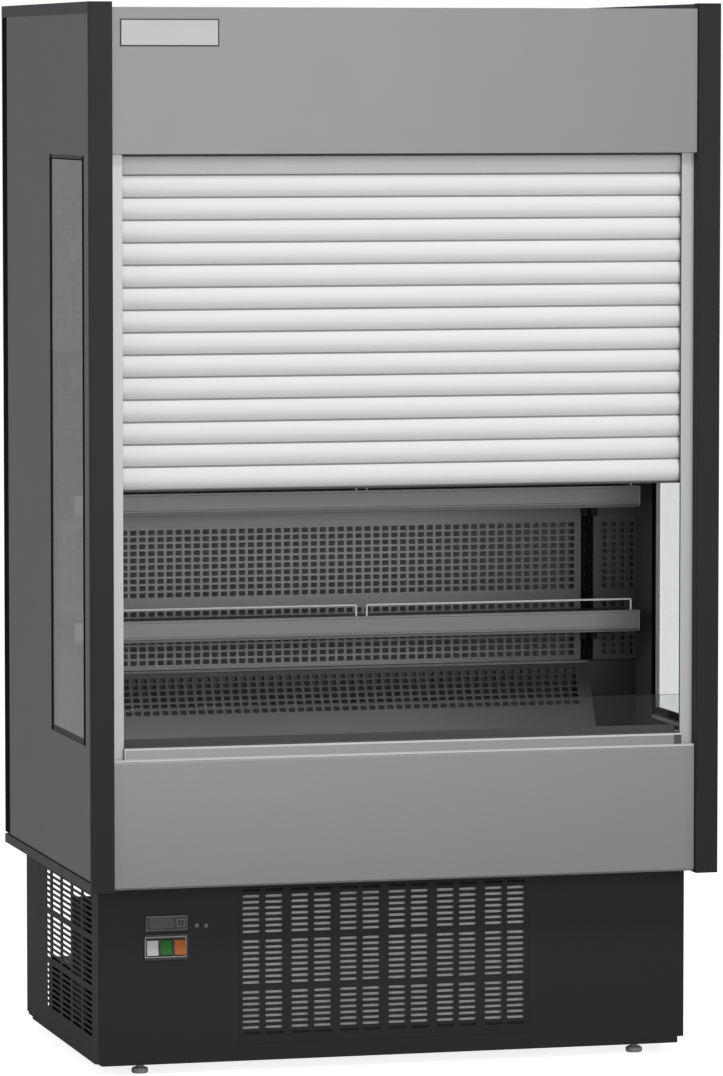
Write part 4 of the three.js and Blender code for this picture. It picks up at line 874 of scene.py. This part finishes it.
def controls():
    """A painted highlight round the controller, thicker along its top edge, rims round its display
    and its key, the rim round the switches, and two screws beside them."""
    left, right, low, high = CONTROL_X - 40, CONTROL_X + 40, 273.7, 301.5
    middle, key_x, key_half = (low + high) / 2, right - 12.5, 7.4
    display = (left + 8, right - 26, middle - 9, middle + 9)
    # painted highlight along the bezel's edges, thickest on top where light falls from above
    make_piece("controller_rim_highlight", *ring_faces(left, right, low, high, 1.3, 98.6, 99.4), rim_highlight_paint)
    make_piece("controller_top_highlight", *box_faces(left, right, 98.4, 99.4, high - 2.2, high),
               rim_highlight_paint)
    make_piece("display_window", *box_faces(*display[:2], 99.6, 100.2, *display[2:]),
               display_face)
    make_piece("display_edge", *ring_faces(*display, 0.9, 99.2, 99.6), dark_rim)
    make_piece("key_edge", *ring_faces(key_x - key_half, key_x + key_half, middle - key_half,
                                       middle + key_half, 1.3, 98.7, 99.3), key_rim)
    make_piece("switch_rim", *ring_faces(CONTROL_X - 42, CONTROL_X + 38, 223, 262.5, 1.6, 98.4,
                                         99.4), bright_rim, bevel=0.3)
    head = [[0, -0.2], [1.2, -0.2], [3.2, 0.1], [4.4, 1.0], [4.6, 2.4]]
    for number, x in enumerate((-386.0, -368.0), 1):
        make_piece(f"panel_screw_{number}", *turned_round(head, (x, 99.8, 282.0 - number), 20),
                   screw_metal)


# ------------------------------------------------------------------ kept nodes
def dress_kept_nodes():
    """Finishes for the solids that are shown as they are."""
    looks = {
        "base_frame": black_paint, "base_front_panel": black_paint, "cabinet_shell": foam_skin,
        "canopy_liner": liner_paint, "canopy_light": lamp_cover,
        "deck_pan": deck_paint, "fan_plate": steel, "evaporator_coil": fin_metal,
        "condenser_shroud": steel, "condenser_fan": fin_metal, "compressor": skirt_paint,
        "controller": black_plastic, "controller_key": black_plastic, "switch_frame": black_plastic,
        "rocker_switch_1": white_plastic, "rocker_switch_2": green_plastic,
        "rocker_switch_3": amber_plastic, "shutter_barrel": steel, "shutter_coil": shutter_paint,
        "evaporator_fan_left": black_plastic, "evaporator_fan_right": black_plastic,
    }
    for place in ("front_left", "front_right", "rear_left", "rear_right"):
        looks[f"foot_{place}"] = foot_grey
    for node, look in looks.items():
        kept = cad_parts[node]
        kept.data.materials.clear()
        kept.data.materials.append(look)


# ------------------------------------------------------------------ stage
SKY = 0.5  # how bright the sky is as a light


def seen_directly(tree, straight, through, mirrored):
    """A value for what is seen of the backdrop: straight where a ray comes from the camera,
    through where it has only passed through glass, mirrored where it comes off a gloss, and 0
    for any other ray."""
    ray = tree.nodes.new("ShaderNodeLightPath").outputs
    bounces = maths(tree, "ADD", ray["Diffuse Depth"], ray["Glossy Depth"])
    passed = maths(tree, "MULTIPLY", ray["Is Transmission Ray"],
                   maths(tree, "LESS_THAN", bounces, 0.5))
    total = 0.0
    for kind, value in ((ray["Is Camera Ray"], straight), (passed, through),
                        (ray["Is Glossy Ray"], mirrored)):
        total = maths(tree, "MULTIPLY_ADD", kind, value, total)
    return total


def pale_floor():
    """A wide floor just under the feet, which glows a little where it is seen directly."""
    half = 30000
    paint = finish("floor_paint", (196, 196, 196), 0.7, mottle=0.01, specular=0.1)
    tree = paint.node_tree
    glow, mixed = tree.nodes.new("ShaderNodeEmission"), tree.nodes.new("ShaderNodeAddShader")
    tree.links.new(seen_directly(tree, 0.85, 1.03, 0.12), glow.inputs["Strength"])
    tree.links.new(tree.nodes["Principled BSDF"].outputs[0], mixed.inputs[0])
    tree.links.new(glow.outputs[0], mixed.inputs[1])
    tree.links.new(mixed.outputs[0], tree.nodes["Material Output"].inputs["Surface"])
    corners = placed(np.array([-half, half, half, -half]), np.array([-half, -half, half, half]),
                     -0.3)
    floor = make_piece("floor", corners, [[0, 1, 2, 3]], paint, body=None, smooth=False)


def soft_sky():
    """A white sky that is brighter to the camera than it is as a light."""
    world = bpy.data.worlds.new("soft_sky")
    world.use_nodes = True
    tree = world.node_tree
    sky = tree.nodes["Background"]
    sky.inputs["Color"].default_value = (1, 1, 1, 1)
    strength = maths(tree, "ADD", seen_directly(tree, 1.0 - SKY, 1.55 - SKY, -0.06), SKY)
    tree.links.new(strength, sky.inputs["Strength"])
    bpy.context.scene.world = world


def linked(name, data, where, direction):
    """An object in the scene at a place in metres, facing a direction."""
    thing = bpy.data.objects.new(name, data)
    thing.location = where
    thing.rotation_euler = direction.to_track_quat("-Z", "Y").to_euler()
    bpy.context.collection.objects.link(thing)
    return thing


def lamps():
    """Three square lamps, each with its place, the point it faces, its width and its power."""
    for name, where, aim, size, power in [
            ("key_light", (0.6, -4.0, 5.6), (0, -0.4, 1.3), 1.2, 205),
            ("fill_light", (0.7, -6.0, 1.7), (0, 0.0, 1.1), 2.4, 114),
            ("side_light", (-6.0, -2.0, 3.0), (-0.6, 0, 1.0), 3.0, 60)]:
        lamp = bpy.data.lights.new(name, "AREA")
        lamp.size = size
        lamp.energy = power
        linked(name, lamp, where, Vector(aim) - Vector(where))


def camera():
    """The photo's camera, worked out from its straight edges."""
    lens = bpy.data.cameras.new("camera")
    lens.sensor_fit = "VERTICAL"
    lens.sensor_height = 36.0
    lens.lens = 203.32
    lens.clip_end = 200.0
    yaw, pitch = np.radians(14.8375), np.radians(-4.3226)
    look = Vector((np.sin(yaw) * np.cos(pitch), np.cos(yaw) * np.cos(pitch), np.sin(pitch)))
    scene = bpy.context.scene
    scene.camera = linked("camera", lens, (-2.99281, -11.35218, 1.87023), look)
    scene.view_settings.view_transform = "Standard"
    scene.view_settings.look = "None"


end_panels()
rear_cover()
end_trims()
front_panels()
curtain()
bottom_bar()
guides()
duct_wall()
lower_duct()
shelves()
deck()
base_grilles()
condenser()
controls()
dress_kept_nodes()
pale_floor()
soft_sky()
lamps()
camera()
